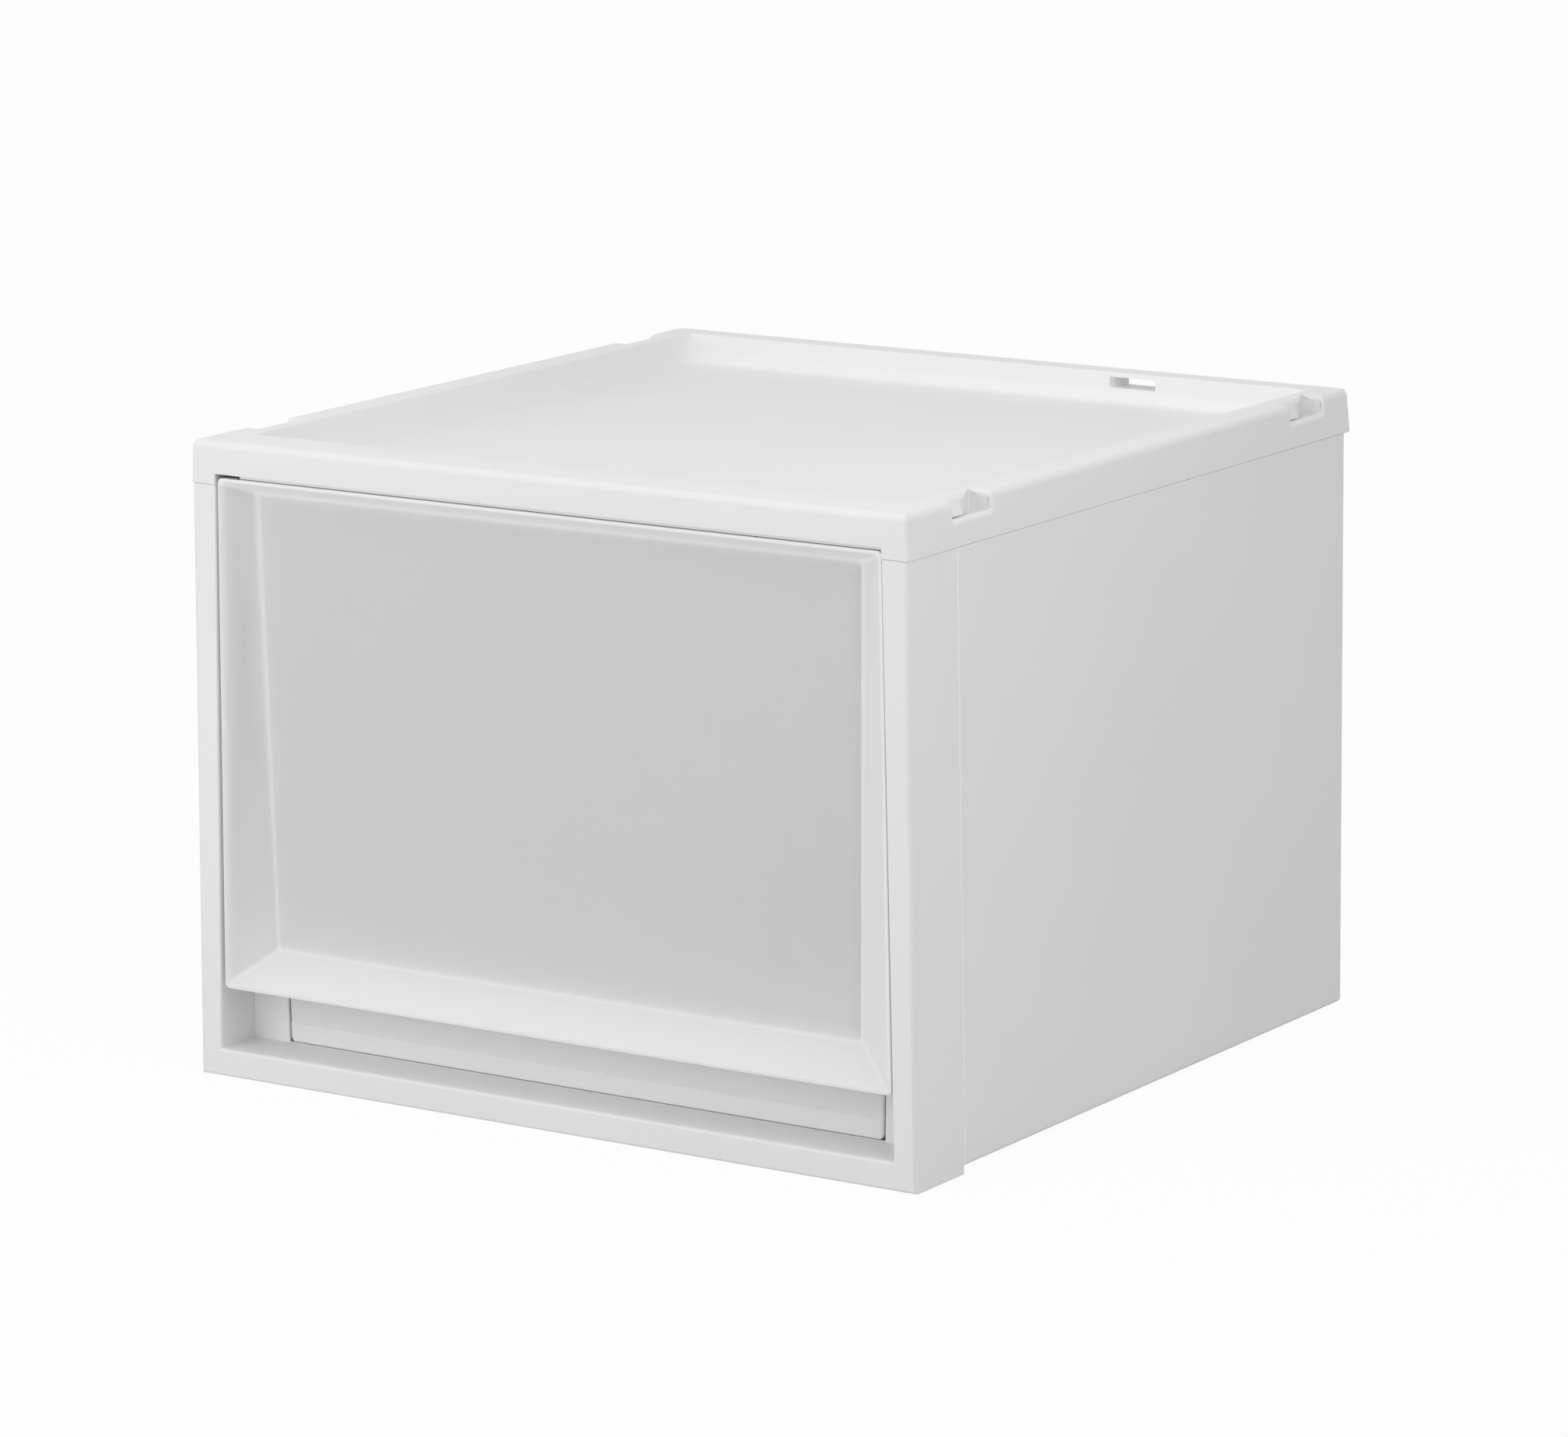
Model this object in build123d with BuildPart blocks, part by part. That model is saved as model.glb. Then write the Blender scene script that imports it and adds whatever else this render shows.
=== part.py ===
"""Stackable storage box with one deep drawer, in millimetres.

The case is a one-piece shell, open at its front and top. A U-shaped frame closes the front edge, and a
top panel with a sunk tray closes the top. The drawer is a frosted tub with a frosted front, which is
dished inwards and leaves a finger gap below its lip. The drawer slides out along -Y.

X is to the right, Y to the back and Z up. The origin is on the floor, under the middle of the box.
"""
from build123d import *
from math import cos, hypot, radians, sin, tan
import os

os.makedirs("parts", exist_ok=True)

# Overall size
overall_width = 390.0  # across the foot of the front frame
overall_depth = 392.5  # front face to the foot of the top panel's back
overall_height = 296.5

# Mouldings
case_wall = 2.2
frame_wall = 2.4
panel_wall = 2.4
drawer_wall = 2.0

# Fits
joint_gap = 0.2  # between mouldings that clip together
side_seam = 0.25  # shadow gap between the top panel's skirt and the case
front_seam = 0.2  # shadow gap between the top panel's legs and the posts
slide_gap = 0.3  # drawer on its runners, and against its stops
skirt_proud = 0.5  # the case stands this far outside the front frame
root = 0.5  # ribs and pegs are sunk this far into what they grow from
overcut = 1.0  # a cut runs this far past the faces that it opens
close = 0.1  # edges this near to a place are taken to be at it

# Case
side_draft = 0.67  # degrees, the sides lean in towards the top
case_lift = 3.5  # underside of the case above the floor
back_draft = 0.8  # degrees, the back leans out towards the top
back_overhang = 8.0  # the top panel reaches this far past the case's back, at the seam
case_corner = 2.0  # radius of the case's outer edges
case_mouth_edge = 0.5  # radius of its front edges, beside the frame
tongue_length = 12.0  # the case's front tongue inside the frame
tongue_thickness = 1.8
tongue_root = 10.0  # how far a tongue is backed by the wall it grows from
collar_height = 4.0  # the case's upper tongue inside the top panel's skirt
runner_inset = 25.6  # flange's edge in to the middle of each floor runner
runner_width = 4.0
guide_height = 46.0  # side guides for the drawer, above the case's underside
foot_length = 30.0
foot_width = 18.0
foot_inset = 30.0  # from the case's side and back to the foot
foot_wall = 2.5

# Front frame
frame_depth = 39.5
rail_height = 13.1  # floor of the drawer opening above the ground
post_width = 12.1  # outer face to the drawer opening, at the rail
window_draft = 1.02  # degrees, the posts widen towards the top
flange_setback = 25.5  # front face to the flange behind the posts
flange_wall = 2.2
flange_width = 19.3  # from the opening's side in to the flange's edge, at the rail
frame_edge = 1.5  # radius of the frame's outer upright edges
window_edge = 0.8  # radius round the drawer opening

# Top panel
panel_height = 20.0  # skirt's lower edge to the top
panel_draft = 3.5  # degrees
panel_edge = 3.4  # radius of the outer top edge, front and sides
panel_back_edge = 1.4  # radius of the back's top edge and uprights
rim_width = 16.3  # side rims, outer face to the tray at the top
front_rim_width = 25.5
back_rim_width = 13.8  # from the foot of the back
tray_depth = 15.3
tray_draft = 1.5
tray_corner = 1.0
tray_edge = 0.9  # radius round the tray's mouth
rail_face = 15.1  # height of the front rail's face
leg_depth = 23.0  # the legs' inner walls, front to back
panel_rib = 1.6
panel_rib_depth = 3.5
panel_rib_count = 3  # stiffening ribs each way under the tray

# Catch notches in the side rims: a three-sided pocket at the rear end, a cheek in front of it that rolls
# down from the rim, and a lip along the outside with a groove behind it
notch_length = 32.4
notch_from_front = 36.8
notch_from_back = 27.3
notch_lip = 8.4  # rim top down to the lip
notch_lip_width = 4.0
notch_lip_edge = 2.2  # radius of the lip's outer edge
notch_depth = 11.4  # skirt in to the pocket's inner corner, at the top
notch_pocket_length = 18.0  # along the lip, from where the pocket's slanted wall starts
notch_groove = 4.2  # width of the groove
notch_floor = 11.6  # rim top down to the floor of the groove and the pocket
notch_slit = 0.6  # lip up to the cheek
notch_cheek = 7.4  # skirt in to the cheek, at the top
notch_roll = 4.0  # radius from the rim into the cheek
notch_edge = 1.6  # radius of the edges at the pocket's rear end

# Slot through the back rim
slot_from_centre = 79.6
slot_width = 25.3
slot_height = 5.2
slot_below_top = 2.4  # rim top down to the slot
slot_outer_inset = 3.2  # the outer opening is this much shorter at its inner end

# Drawer front
front_setback = 0.6  # the drawer's rim behind the face of the frame
lip_height = 42.1  # lip above the ground
front_side_gap = 1.0  # rim to post at the top
front_draft = 0.70  # degrees
front_top_gap = 1.7  # rim to the underside of the front rail
front_rim = 1.6  # flat edge round the dish
front_corner = 2.4  # radius of the rim's corners in the front view
front_edge = 0.7  # radius round the rim's face
dish_corner = 2.3  # radius of the dish's corners in the front view, at the flat
top_skirt_gap = 1.5  # the front's top wall to the tray's front wall
dish_top_depth = 10.1  # at the top, behind the rim
dish_foot_depth = 12.5
dish_top_border = 6.2  # rim's top down to the flat of the dish
dish_foot_border = 18.0
dish_side_top = 14.7  # rim's side in to the flat of the dish, at the top
dish_side_foot = 22.2
peg_inset = 43.6  # tub's side in to the pegs
peg_above_lip = 46.0
peg_below_top = 47.2
peg_boss = 12.0
peg_size = 5.0
peg_head = 8.0
peg_head_height = 1.2

# Drawer tub
tub_side_gap = 1.85  # tub to the flanges
tub_setback = 25.3  # front face of the box to the tub's foot
tub_draft = 1.2  # degrees
tub_foot = 0.6  # tub's underside above the rail
tub_headroom = 3.3  # tub's rim to the ribs under the tray
tub_rear_gap = 15.19  # tub's foot to the inside of the case's back
tub_tail = 38.0  # length of the tub that stays inside at full travel
tub_corner = 4.0  # radius of the long edges under the tub
tub_edge = 1.4  # radius of its upright and cross edges
tub_inner_corner = 2.0
band_height = 9.3  # foot band, which stands proud of the front and back walls
band_proud = 0.4
bead_height = 3.0
bead_proud = 1.2
stop_length = 14.0
stop_height = 14.0
stop_reach = 8.4  # the stops reach this far past the throat
stop_below_rim = 2.0

# Heights and places that follow
front_y = -overall_depth / 2
back_y = overall_depth / 2
frame_back_y = front_y + frame_depth
case_back_y = back_y - back_overhang
flange_y = front_y + flange_setback
flange_back_y = flange_y + flange_wall
seam_z = overall_height - panel_height
rail_z = overall_height - rail_face
tray_z = overall_height - tray_depth
tray_under_z = tray_z - panel_wall
case_floor_z = case_lift + case_wall
case_foot_back_y = case_back_y - (seam_z - case_lift) * tan(radians(back_draft))
tray_front_y = front_y + front_rim_width
tray_back_y = back_y - back_rim_width
tub_z = rail_height + tub_foot
tub_top_z = tray_under_z - panel_rib_depth - tub_headroom
tub_height = tub_top_z - tub_z
tub_front_y = front_y + tub_setback
tub_back_y = case_foot_back_y - case_wall - tub_rear_gap
tub_length = tub_back_y - tub_front_y
drawer_travel = tub_length - tub_tail
front_top_z = rail_z - front_top_gap
window_half_width = overall_width / 2 - post_width
throat_half_width = window_half_width - flange_width
tub_half_width = throat_half_width - tub_side_gap


def case_half(z):
    """Half width of the case at a height. Above the seam it follows the top panel's draft."""
    below = min(z, seam_z)
    above = max(z - seam_z, 0.0)
    return overall_width / 2 - below * tan(radians(side_draft)) - above * tan(radians(panel_draft))


def frame_half(z):
    """Half width of the front frame, which the case overlaps a little."""
    return case_half(z) - skirt_proud


def window_half(z):
    """Half width of the drawer opening, narrower towards the top."""
    return window_half_width - (z - rail_height) * tan(radians(window_draft))


def throat_half(z):
    """Half width of the passage between the flanges, which follows the drawer tub's draft."""
    return throat_half_width + (z - rail_height) * tan(radians(tub_draft))


def tub_half(z):
    """Half width of the drawer tub."""
    return tub_half_width + (z - tub_z) * tan(radians(tub_draft))


def front_half(z):
    """Half width of the drawer front's rim, tied to the posts at the top of the front."""
    return window_half(front_top_z) - front_side_gap + (front_top_z - z) * tan(radians(front_draft))


def from_front(y):
    """Upright plane at a depth, drawn as the front view is seen: X to the right and Z up."""
    return Plane.XZ.offset(-y)


def back_wall(y, lean, inset=0.0):
    """Plane of a back wall that is at y at the seam and leans out towards the top, facing forward."""
    return Plane(origin=(0, y - inset, seam_z), x_dir=(1, 0, 0),
                 z_dir=(0, -cos(radians(lean)), sin(radians(lean))))


def near(value, place):
    """Whether a coordinate is at a place."""
    return abs(value - place) < close


def upright(half, z_low, z_high, inset=0.0, mode=Mode.ADD):
    """Four-sided outline in the front view, with its sides at half(z) less the inset."""
    low = half(z_low) - inset
    high = half(z_high) - inset
    Polygon((-low, z_low), (low, z_low), (high, z_high), (-high, z_high), align=None, mode=mode)


def both_sides(outer, outer_inset, inner, inner_inset, z_low, z_high):
    """Two upright strips, left and right, between two side lines of the front view."""
    for side in (-1, 1):
        Polygon(
            (side * (outer(z_low) - outer_inset), z_low),
            (side * (inner(z_low) - inner_inset), z_low),
            (side * (inner(z_high) - inner_inset), z_high),
            (side * (outer(z_high) - outer_inset), z_high),
            align=None,
        )


def block(x_low, x_high, y_low, y_high, z_low, z_high, mode=Mode.ADD):
    """Box between two corners."""
    middle = ((x_low + x_high) / 2, (y_low + y_high) / 2, (z_low + z_high) / 2)
    with Locations(middle):
        Box(x_high - x_low, y_high - y_low, z_high - z_low, mode=mode)


# Case: floor, back and two sides in one moulding, with a tongue for the front frame, a collar for the top
# panel, runners and guides for the drawer, and two feet at the back
case_top_z = seam_z - side_seam
frame_fit = skirt_proud + frame_wall + joint_gap
collar_fit = panel_wall + joint_gap
wall_root = case_wall / 2
riser_y = case_back_y - joint_gap
with BuildPart() as case_hollow:
    with BuildSketch(from_front(frame_back_y)):
        upright(case_half, case_floor_z, case_top_z + case_wall, case_wall)
    extrude(amount=-(back_y - frame_back_y))
    split(bisect_by=back_wall(case_back_y, back_draft, case_wall), keep=Keep.TOP)

with BuildPart() as case_body:
    with BuildSketch(from_front(frame_back_y)):
        upright(case_half, case_lift, case_top_z)
    extrude(amount=-(back_y - frame_back_y))
    split(bisect_by=back_wall(case_back_y, back_draft), keep=Keep.TOP)
    rear_edges = case_body.faces().sort_by(Axis.Y)[-1].edges()
    side_feet = case_body.edges().filter_by(Axis.Y).group_by(Axis.Z)[0]
    fillet([edge for edge in rear_edges if edge.center().Z < case_top_z - close] + side_feet,
           radius=min(case_corner, 0.9 * case_wall))
    mouth_edges = case_body.faces().sort_by(Axis.Y)[0].edges()
    fillet([edge for edge in mouth_edges if edge.center().Z < case_top_z - close],
           radius=min(case_mouth_edge, 0.4 * case_wall))
    add(case_hollow.part, mode=Mode.SUBTRACT)

    # Riser of the back wall, up to the underside of the tray
    back_half = case_half(tray_under_z) - collar_fit
    block(-back_half, back_half, riser_y - case_wall, riser_y, case_top_z - case_wall, tray_under_z - joint_gap)

    # Collar inside the top panel's skirt
    with BuildSketch(from_front(frame_back_y)):
        both_sides(case_half, wall_root, case_half, collar_fit + tongue_thickness,
                   case_top_z - tongue_root, case_top_z)
        both_sides(case_half, collar_fit, case_half, collar_fit + tongue_thickness,
                   case_top_z - tongue_root, seam_z)
        both_sides(case_half, collar_fit, case_half, collar_fit + tongue_thickness,
                   seam_z, seam_z + collar_height)
    extrude(amount=-(case_back_y - case_wall - frame_back_y))

    # Front tongue inside the frame's channel
    with BuildSketch(from_front(frame_back_y)):
        both_sides(case_half, wall_root, case_half, frame_fit + tongue_thickness,
                   case_lift + wall_root, case_top_z - tongue_root)
    extrude(amount=-tongue_root)
    with BuildSketch(from_front(frame_back_y - tongue_length)):
        both_sides(case_half, frame_fit, case_half, frame_fit + tongue_thickness,
                   case_lift + wall_root, case_top_z - tongue_root)
    extrude(amount=-(tongue_length + tongue_root))

    # Sill tongue under the frame's rail
    sill_top_z = rail_height - frame_wall - joint_gap
    sill_half = window_half_width - frame_wall
    block(-sill_half, sill_half, frame_back_y, frame_back_y + case_wall, case_lift, sill_top_z)
    block(-sill_half, sill_half, frame_back_y - tongue_length, frame_back_y + case_wall,
          sill_top_z - case_wall, sill_top_z)

    # Runners under the drawer, and guides beside it
    runner_top_z = tub_z - slide_gap
    for side in (-1, 1):
        middle_x = side * (throat_half_width - runner_inset)
        block(middle_x - runner_width / 2, middle_x + runner_width / 2,
              frame_back_y + joint_gap, case_foot_back_y - wall_root, case_floor_z - root, runner_top_z)
    with BuildSketch(from_front(frame_back_y + joint_gap)):
        both_sides(throat_half, -case_wall, throat_half, 0.0, case_floor_z - root, case_lift + guide_height)
    extrude(amount=-(case_foot_back_y - wall_root - frame_back_y - joint_gap))

    # Feet: two open rings under the back
    foot_x = case_half(case_lift) - foot_inset - foot_length / 2
    foot_y = case_foot_back_y - foot_inset - foot_width / 2
    with BuildSketch(Plane.XY):
        with Locations((-foot_x, foot_y), (foot_x, foot_y)):
            RectangleRounded(foot_length, foot_width, 2 * foot_wall)
            RectangleRounded(foot_length - 2 * foot_wall, foot_width - 2 * foot_wall, foot_wall,
                             mode=Mode.SUBTRACT)
    extrude(amount=case_lift + wall_root)
case_body.part.label = "case_body"
export_step(case_body.part, "parts/case_body.step")


# Front frame: a U of two posts and a rail, hollow from behind, with a flange behind each post
post_top_z = seam_z - front_seam
with BuildPart() as front_frame:
    with BuildSketch(from_front(front_y)):
        upright(frame_half, 0, post_top_z)
        upright(window_half, rail_height, post_top_z + overcut, mode=Mode.SUBTRACT)
    extrude(amount=-frame_depth)
    face_edges = front_frame.faces().sort_by(Axis.Y)[0].edges()
    side_edges = [edge for edge in face_edges if abs(edge.tangent_at(0.5).Z) > 0.5]
    outer_edges = [edge for edge in side_edges if abs(edge.center().X) > window_half_width + close]
    opening_edges = [edge for edge in side_edges if abs(edge.center().X) < window_half_width + close]
    opening_edges += [edge for edge in face_edges if near(edge.center().Z, rail_height)]
    fillet(outer_edges, radius=min(frame_edge, 0.6 * frame_wall))
    fillet(opening_edges, radius=min(window_edge, 0.4 * frame_wall))
    with BuildSketch(from_front(front_y + frame_wall)):
        upright(frame_half, frame_wall, post_top_z + overcut, frame_wall)
        upright(window_half, rail_height - frame_wall, post_top_z + 2 * overcut, -frame_wall,
                mode=Mode.SUBTRACT)
    extrude(amount=-frame_depth, mode=Mode.SUBTRACT)
    with BuildSketch(from_front(flange_y)):
        both_sides(window_half, -frame_wall / 2, throat_half, 0.0, rail_height - frame_wall / 2, post_top_z)
    extrude(amount=-flange_wall)
front_frame.part.label = "front_frame"
export_step(front_frame.part, "parts/front_frame.step")


# Top panel: an upturned shell with a sunk tray, a skirt over the case, and two short legs over the posts
tray_spread = tray_depth * tan(radians(tray_draft))
tray_half = case_half(overall_height) - rim_width - tray_spread
tray_y_low = tray_front_y + tray_spread
tray_y_high = tray_back_y - tray_spread
tray_middle_y = (tray_y_low + tray_y_high) / 2
tray_length = tray_y_high - tray_y_low
lip_z = overall_height - notch_lip
notch_floor_z = overall_height - notch_floor
cheek_foot_z = lip_z + notch_slit
lip_outer_x = case_half(lip_z)
lip_inner_x = lip_outer_x - notch_lip_width
groove_x = lip_inner_x - notch_groove
pocket_x = case_half(overall_height) - notch_depth
cheek_x = case_half(overall_height) - notch_cheek
notch_fill_x = tray_half + tray_spread + panel_wall / 2
notch_starts = (front_y + notch_from_front, back_y - notch_from_back - notch_length)
with BuildPart() as panel_hollow:
    with BuildSketch(from_front(front_y + panel_wall)):
        upright(case_half, seam_z - overcut, overall_height - panel_wall, panel_wall)
    extrude(amount=-overall_depth)
    split(bisect_by=back_wall(back_y, -panel_draft, panel_wall), keep=Keep.TOP)

with BuildPart() as top_panel:
    with BuildSketch(from_front(front_y)):
        upright(case_half, seam_z, overall_height)
    extrude(amount=-overall_depth)
    split(bisect_by=back_wall(back_y, -panel_draft), keep=Keep.TOP)
    add(panel_hollow.part, mode=Mode.SUBTRACT)

    # Tray block, inner walls of the legs, and the blocks that the notches are cut from
    with BuildSketch(Plane.XY.offset(tray_under_z)):
        with Locations((0, tray_middle_y)):
            RectangleRounded(2 * (tray_half + panel_wall), tray_length + 2 * panel_wall,
                             tray_corner + panel_wall)
    extrude(amount=overall_height - panel_wall / 2 - tray_under_z, taper=-tray_draft)
    with BuildSketch(from_front(front_y + panel_wall / 2)):
        both_sides(window_half, -panel_wall, window_half, 0.0, seam_z, overall_height - panel_wall / 2)
    extrude(amount=-(leg_depth - panel_wall / 2))
    for start_y in notch_starts:
        for side in (-1, 1):
            block(*sorted((side * notch_fill_x, side * (case_half(overall_height) - panel_wall / 2))),
                  start_y - panel_wall, start_y + notch_length + panel_wall,
                  notch_floor_z - panel_wall, overall_height - panel_wall / 2)

    # Front opening below the rail
    with BuildSketch(from_front(front_y - overcut)):
        upright(window_half, seam_z - overcut, rail_z)
    extrude(amount=-(panel_wall + 2 * overcut), mode=Mode.SUBTRACT)

    # Notches
    for start_y in notch_starts:
        end_y = start_y + notch_length
        clear_x = lip_outer_x + notch_lip_width
        clear_z = overall_height + panel_wall
        for side in (-1, 1):
            with BuildSketch(from_front(start_y)) as notch_section:
                Polygon(
                    (side * clear_x, lip_z),
                    (side * lip_inner_x, lip_z),
                    (side * lip_inner_x, notch_floor_z),
                    (side * groove_x, notch_floor_z),
                    (side * groove_x, cheek_foot_z),
                    (side * lip_inner_x, cheek_foot_z),
                    (side * cheek_x, overall_height),
                    (side * (cheek_x - notch_roll), overall_height),
                    (side * (cheek_x - notch_roll), clear_z),
                    (side * clear_x, clear_z),
                    align=None,
                )
                fillet([corner for corner in notch_section.vertices()
                        if near(corner.Z, overall_height) and near(abs(corner.X), cheek_x)],
                       radius=notch_roll)
            extrude(amount=-notch_length, mode=Mode.SUBTRACT)
            with BuildSketch(Plane.XY.offset(notch_floor_z)):
                Polygon(
                    (side * pocket_x, end_y),
                    (side * pocket_x, end_y - notch_groove / 4),
                    (side * lip_inner_x, end_y - notch_pocket_length),
                    (side * lip_inner_x, end_y),
                    align=None,
                )
            extrude(amount=clear_z - notch_floor_z, mode=Mode.SUBTRACT)

    # Outer edges: the lips, the rim all round and the uprights
    top_half = case_half(overall_height)
    fillet([edge for edge in top_panel.edges().filter_by(Axis.Y)
            if near(edge.center().Z, lip_z) and near(abs(edge.center().X), lip_outer_x)],
           radius=notch_lip_edge)
    fillet([edge for edge in top_panel.edges().group_by(Axis.Z)[-1]
            if near(abs(edge.center().X), top_half) or near(edge.center().Y, front_y)],
           radius=panel_edge)
    front_edges = top_panel.edges().filter_by_position(Axis.Y, front_y - close, front_y + close)
    fillet([edge for edge in front_edges
            if abs(edge.tangent_at(0.5).Z) > 0.9 and abs(edge.center().X) > top_half], radius=frame_edge)
    fillet([edge for edge in top_panel.faces().sort_by(Axis.Y)[-1].edges()
            if edge.center().Z > seam_z + close], radius=panel_back_edge)
    front_edges = top_panel.edges().filter_by_position(Axis.Y, front_y - close, front_y + close)
    fillet([edge for edge in front_edges
            if edge.center().Z < rail_z + close and abs(edge.center().X) < window_half(seam_z) + close
            and edge.center().Z > seam_z + close], radius=window_edge)
    for start_y in notch_starts:
        rear_edges = [edge for edge in top_panel.edges() if near(edge.center().Y, start_y + notch_length)]
        fillet([edge for edge in rear_edges
                if edge.center().Z > overall_height - panel_edge and abs(edge.center().X) > pocket_x + notch_edge
                or edge.center().Z > lip_z and abs(edge.center().X) > top_half], radius=notch_edge)

    # Tray recess and the slot through the back rim
    with BuildSketch(Plane.XY.offset(tray_z)):
        with Locations((0, tray_middle_y)):
            RectangleRounded(2 * tray_half, tray_length, tray_corner)
    extrude(amount=tray_depth + overcut, taper=-tray_draft, mode=Mode.SUBTRACT)
    mouth_edges = [edge for edge in top_panel.edges().group_by(Axis.Z)[-1]
                   if abs(edge.center().X) < pocket_x - close]
    fillet([edge for edge in mouth_edges
            if tray_front_y - close < edge.center().Y < tray_back_y + close], radius=tray_edge)
    slot_top_z = overall_height - slot_below_top
    block(slot_from_centre - slot_width / 2, slot_from_centre + slot_width / 2,
          tray_back_y - overcut, back_y - 2 * panel_wall, slot_top_z - slot_height, slot_top_z,
          Mode.SUBTRACT)
    block(slot_from_centre - slot_width / 2 + slot_outer_inset, slot_from_centre + slot_width / 2,
          tray_back_y - overcut, back_y + overcut, slot_top_z - slot_height, slot_top_z, Mode.SUBTRACT)

    # Ribs under the tray
    rib_y_low = tray_front_y
    rib_y_high = case_back_y - case_wall - joint_gap - panel_rib
    rib_x_high = tray_half - panel_rib
    with BuildSketch(Plane.XY.offset(tray_under_z - panel_rib_depth)):
        for k in range(panel_rib_count):
            share = (k + 1) / (panel_rib_count + 1) - 0.5
            with Locations((share * 2 * rib_x_high, (rib_y_low + rib_y_high) / 2)):
                Rectangle(panel_rib, rib_y_high - rib_y_low)
            with Locations((0, (rib_y_low + rib_y_high) / 2 + share * (rib_y_high - rib_y_low))):
                Rectangle(2 * rib_x_high, panel_rib)
    extrude(amount=panel_rib_depth + panel_wall / 2)
top_panel.part.label = "top_panel"
export_step(top_panel.part, "parts/top_panel.step")


def tub_front(z):
    """Front of the drawer tub's wall above its foot band."""
    return tub_front_y + band_proud - (z - tub_z) * tan(radians(tub_draft))


def dish_outline(depth, shell=0.0):
    """Corners of the dish at a depth behind the rim, or of the back of a shell of that thickness."""
    def inset(border, full_depth):
        slope = (border - front_rim) / full_depth
        return front_rim + slope * depth - shell * hypot(1, slope)
    z_high = front_top_z - inset(dish_top_border, dish_top_depth)
    z_low = lip_height + inset(dish_foot_border, dish_foot_depth)
    high = front_half(front_top_z) - inset(dish_side_top, dish_top_depth)
    low = front_half(lip_height) - inset(dish_side_foot, dish_foot_depth)
    return (-low, z_low), (low, z_low), (high, z_high), (-high, z_high)


# Drawer front: a shell of even wall, dished inwards, with a top wall and two side walls, open below
front_face_y = front_y + front_setback
front_rear_y = flange_y - slide_gap
dish_end = dish_foot_depth + drawer_wall + overcut
dish_tilt = (dish_foot_depth - dish_top_depth) / (front_top_z - dish_top_border - lip_height - dish_foot_border)


def dish_floor(shell):
    """Plane of the dish's flat, or of its back, facing the front."""
    return Plane(origin=(0, front_face_y + dish_top_depth + shell, front_top_z - dish_top_border),
                 x_dir=(1, 0, 0), z_dir=(0, -1, -dish_tilt))


with BuildPart() as dish:
    with BuildSketch(from_front(front_face_y)) as dish_mouth:
        Polygon(*dish_outline(0.0), align=None)
        fillet(dish_mouth.vertices(), radius=front_corner - front_rim)
    with BuildSketch(from_front(front_face_y + dish_end)) as dish_bottom:
        Polygon(*dish_outline(dish_end), align=None)
        fillet(dish_bottom.vertices(), radius=dish_corner)
    loft(ruled=True)
    split(bisect_by=dish_floor(0.0), keep=Keep.TOP)

with BuildPart() as dish_back:
    with BuildSketch(from_front(front_face_y)) as back_mouth:
        Polygon(*dish_outline(0.0, drawer_wall), align=None)
        fillet(back_mouth.vertices(), radius=front_corner)
    with BuildSketch(from_front(front_face_y + dish_end)) as back_bottom:
        Polygon(*dish_outline(dish_end, drawer_wall), align=None)
        fillet(back_bottom.vertices(), radius=dish_corner + drawer_wall)
    loft(ruled=True)
    split(bisect_by=dish_floor(drawer_wall), keep=Keep.TOP)

with BuildPart() as front_hollow:
    with BuildSketch(from_front(front_face_y + drawer_wall)) as hollow_outline:
        upright(front_half, lip_height - front_rim, front_top_z - drawer_wall, drawer_wall)
        fillet(hollow_outline.vertices().group_by(Axis.Z)[-1], radius=front_corner - drawer_wall)
    extrude(amount=-(front_rear_y - front_face_y))
    add(dish_back.part, mode=Mode.SUBTRACT)

peg_x = tub_half_width - peg_inset
peg_heights = (lip_height + peg_above_lip, front_top_z - peg_below_top)
peg_places = [(side * peg_x, height) for side in (-1, 1) for height in peg_heights]
with BuildPart() as drawer_front:
    with BuildSketch(from_front(front_face_y)) as front_outline:
        upright(front_half, lip_height, front_top_z)
        fillet(front_outline.vertices(), radius=front_corner)
    extrude(amount=-(front_rear_y - front_face_y))
    fillet(drawer_front.faces().sort_by(Axis.Y)[0].edges(), radius=front_edge)
    add(dish.part, mode=Mode.SUBTRACT)
    add(front_hollow.part, mode=Mode.SUBTRACT)

    # The top wall stops short of the tray, and the side walls reach the flanges
    top_half = front_half(front_top_z)
    block(-top_half - overcut, top_half + overcut,
          tray_front_y - panel_wall - top_skirt_gap, front_rear_y + overcut,
          tray_under_z - panel_rib_depth, front_top_z + overcut, Mode.SUBTRACT)

    # Bosses on the back of the dish, and pegs with heads through the tub's front wall
    for x, z in peg_places:
        boss_y = tub_front(z + peg_boss / 2) - joint_gap
        root_y = front_face_y + dish_top_depth + drawer_wall / 2
        head_y = tub_front(z - peg_head / 2) + drawer_wall + joint_gap
        for size, y_low, y_high in ((peg_boss, root_y, boss_y), (peg_size, boss_y - root, head_y + root),
                                    (peg_head, head_y, head_y + peg_head_height)):
            with BuildSketch(from_front(y_low)):
                with Locations((x, z)):
                    Circle(size / 2)
            extrude(amount=-(y_high - y_low))
    add(dish.part, mode=Mode.SUBTRACT)
drawer_front.part.label = "drawer_front"
export_step(drawer_front.part, "parts/drawer_front.step")


# Drawer tub: drafted walls, a foot band across the front and back, a bead round the top, and a stop on each
# side at the rear
tub_middle_y = tub_front_y + tub_length / 2
band_top_z = tub_z + band_height
wall_length = tub_length - 2 * band_proud
stop_top_z = tub_top_z - stop_below_rim
stop_front_y = flange_back_y + slide_gap + drawer_travel


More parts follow.
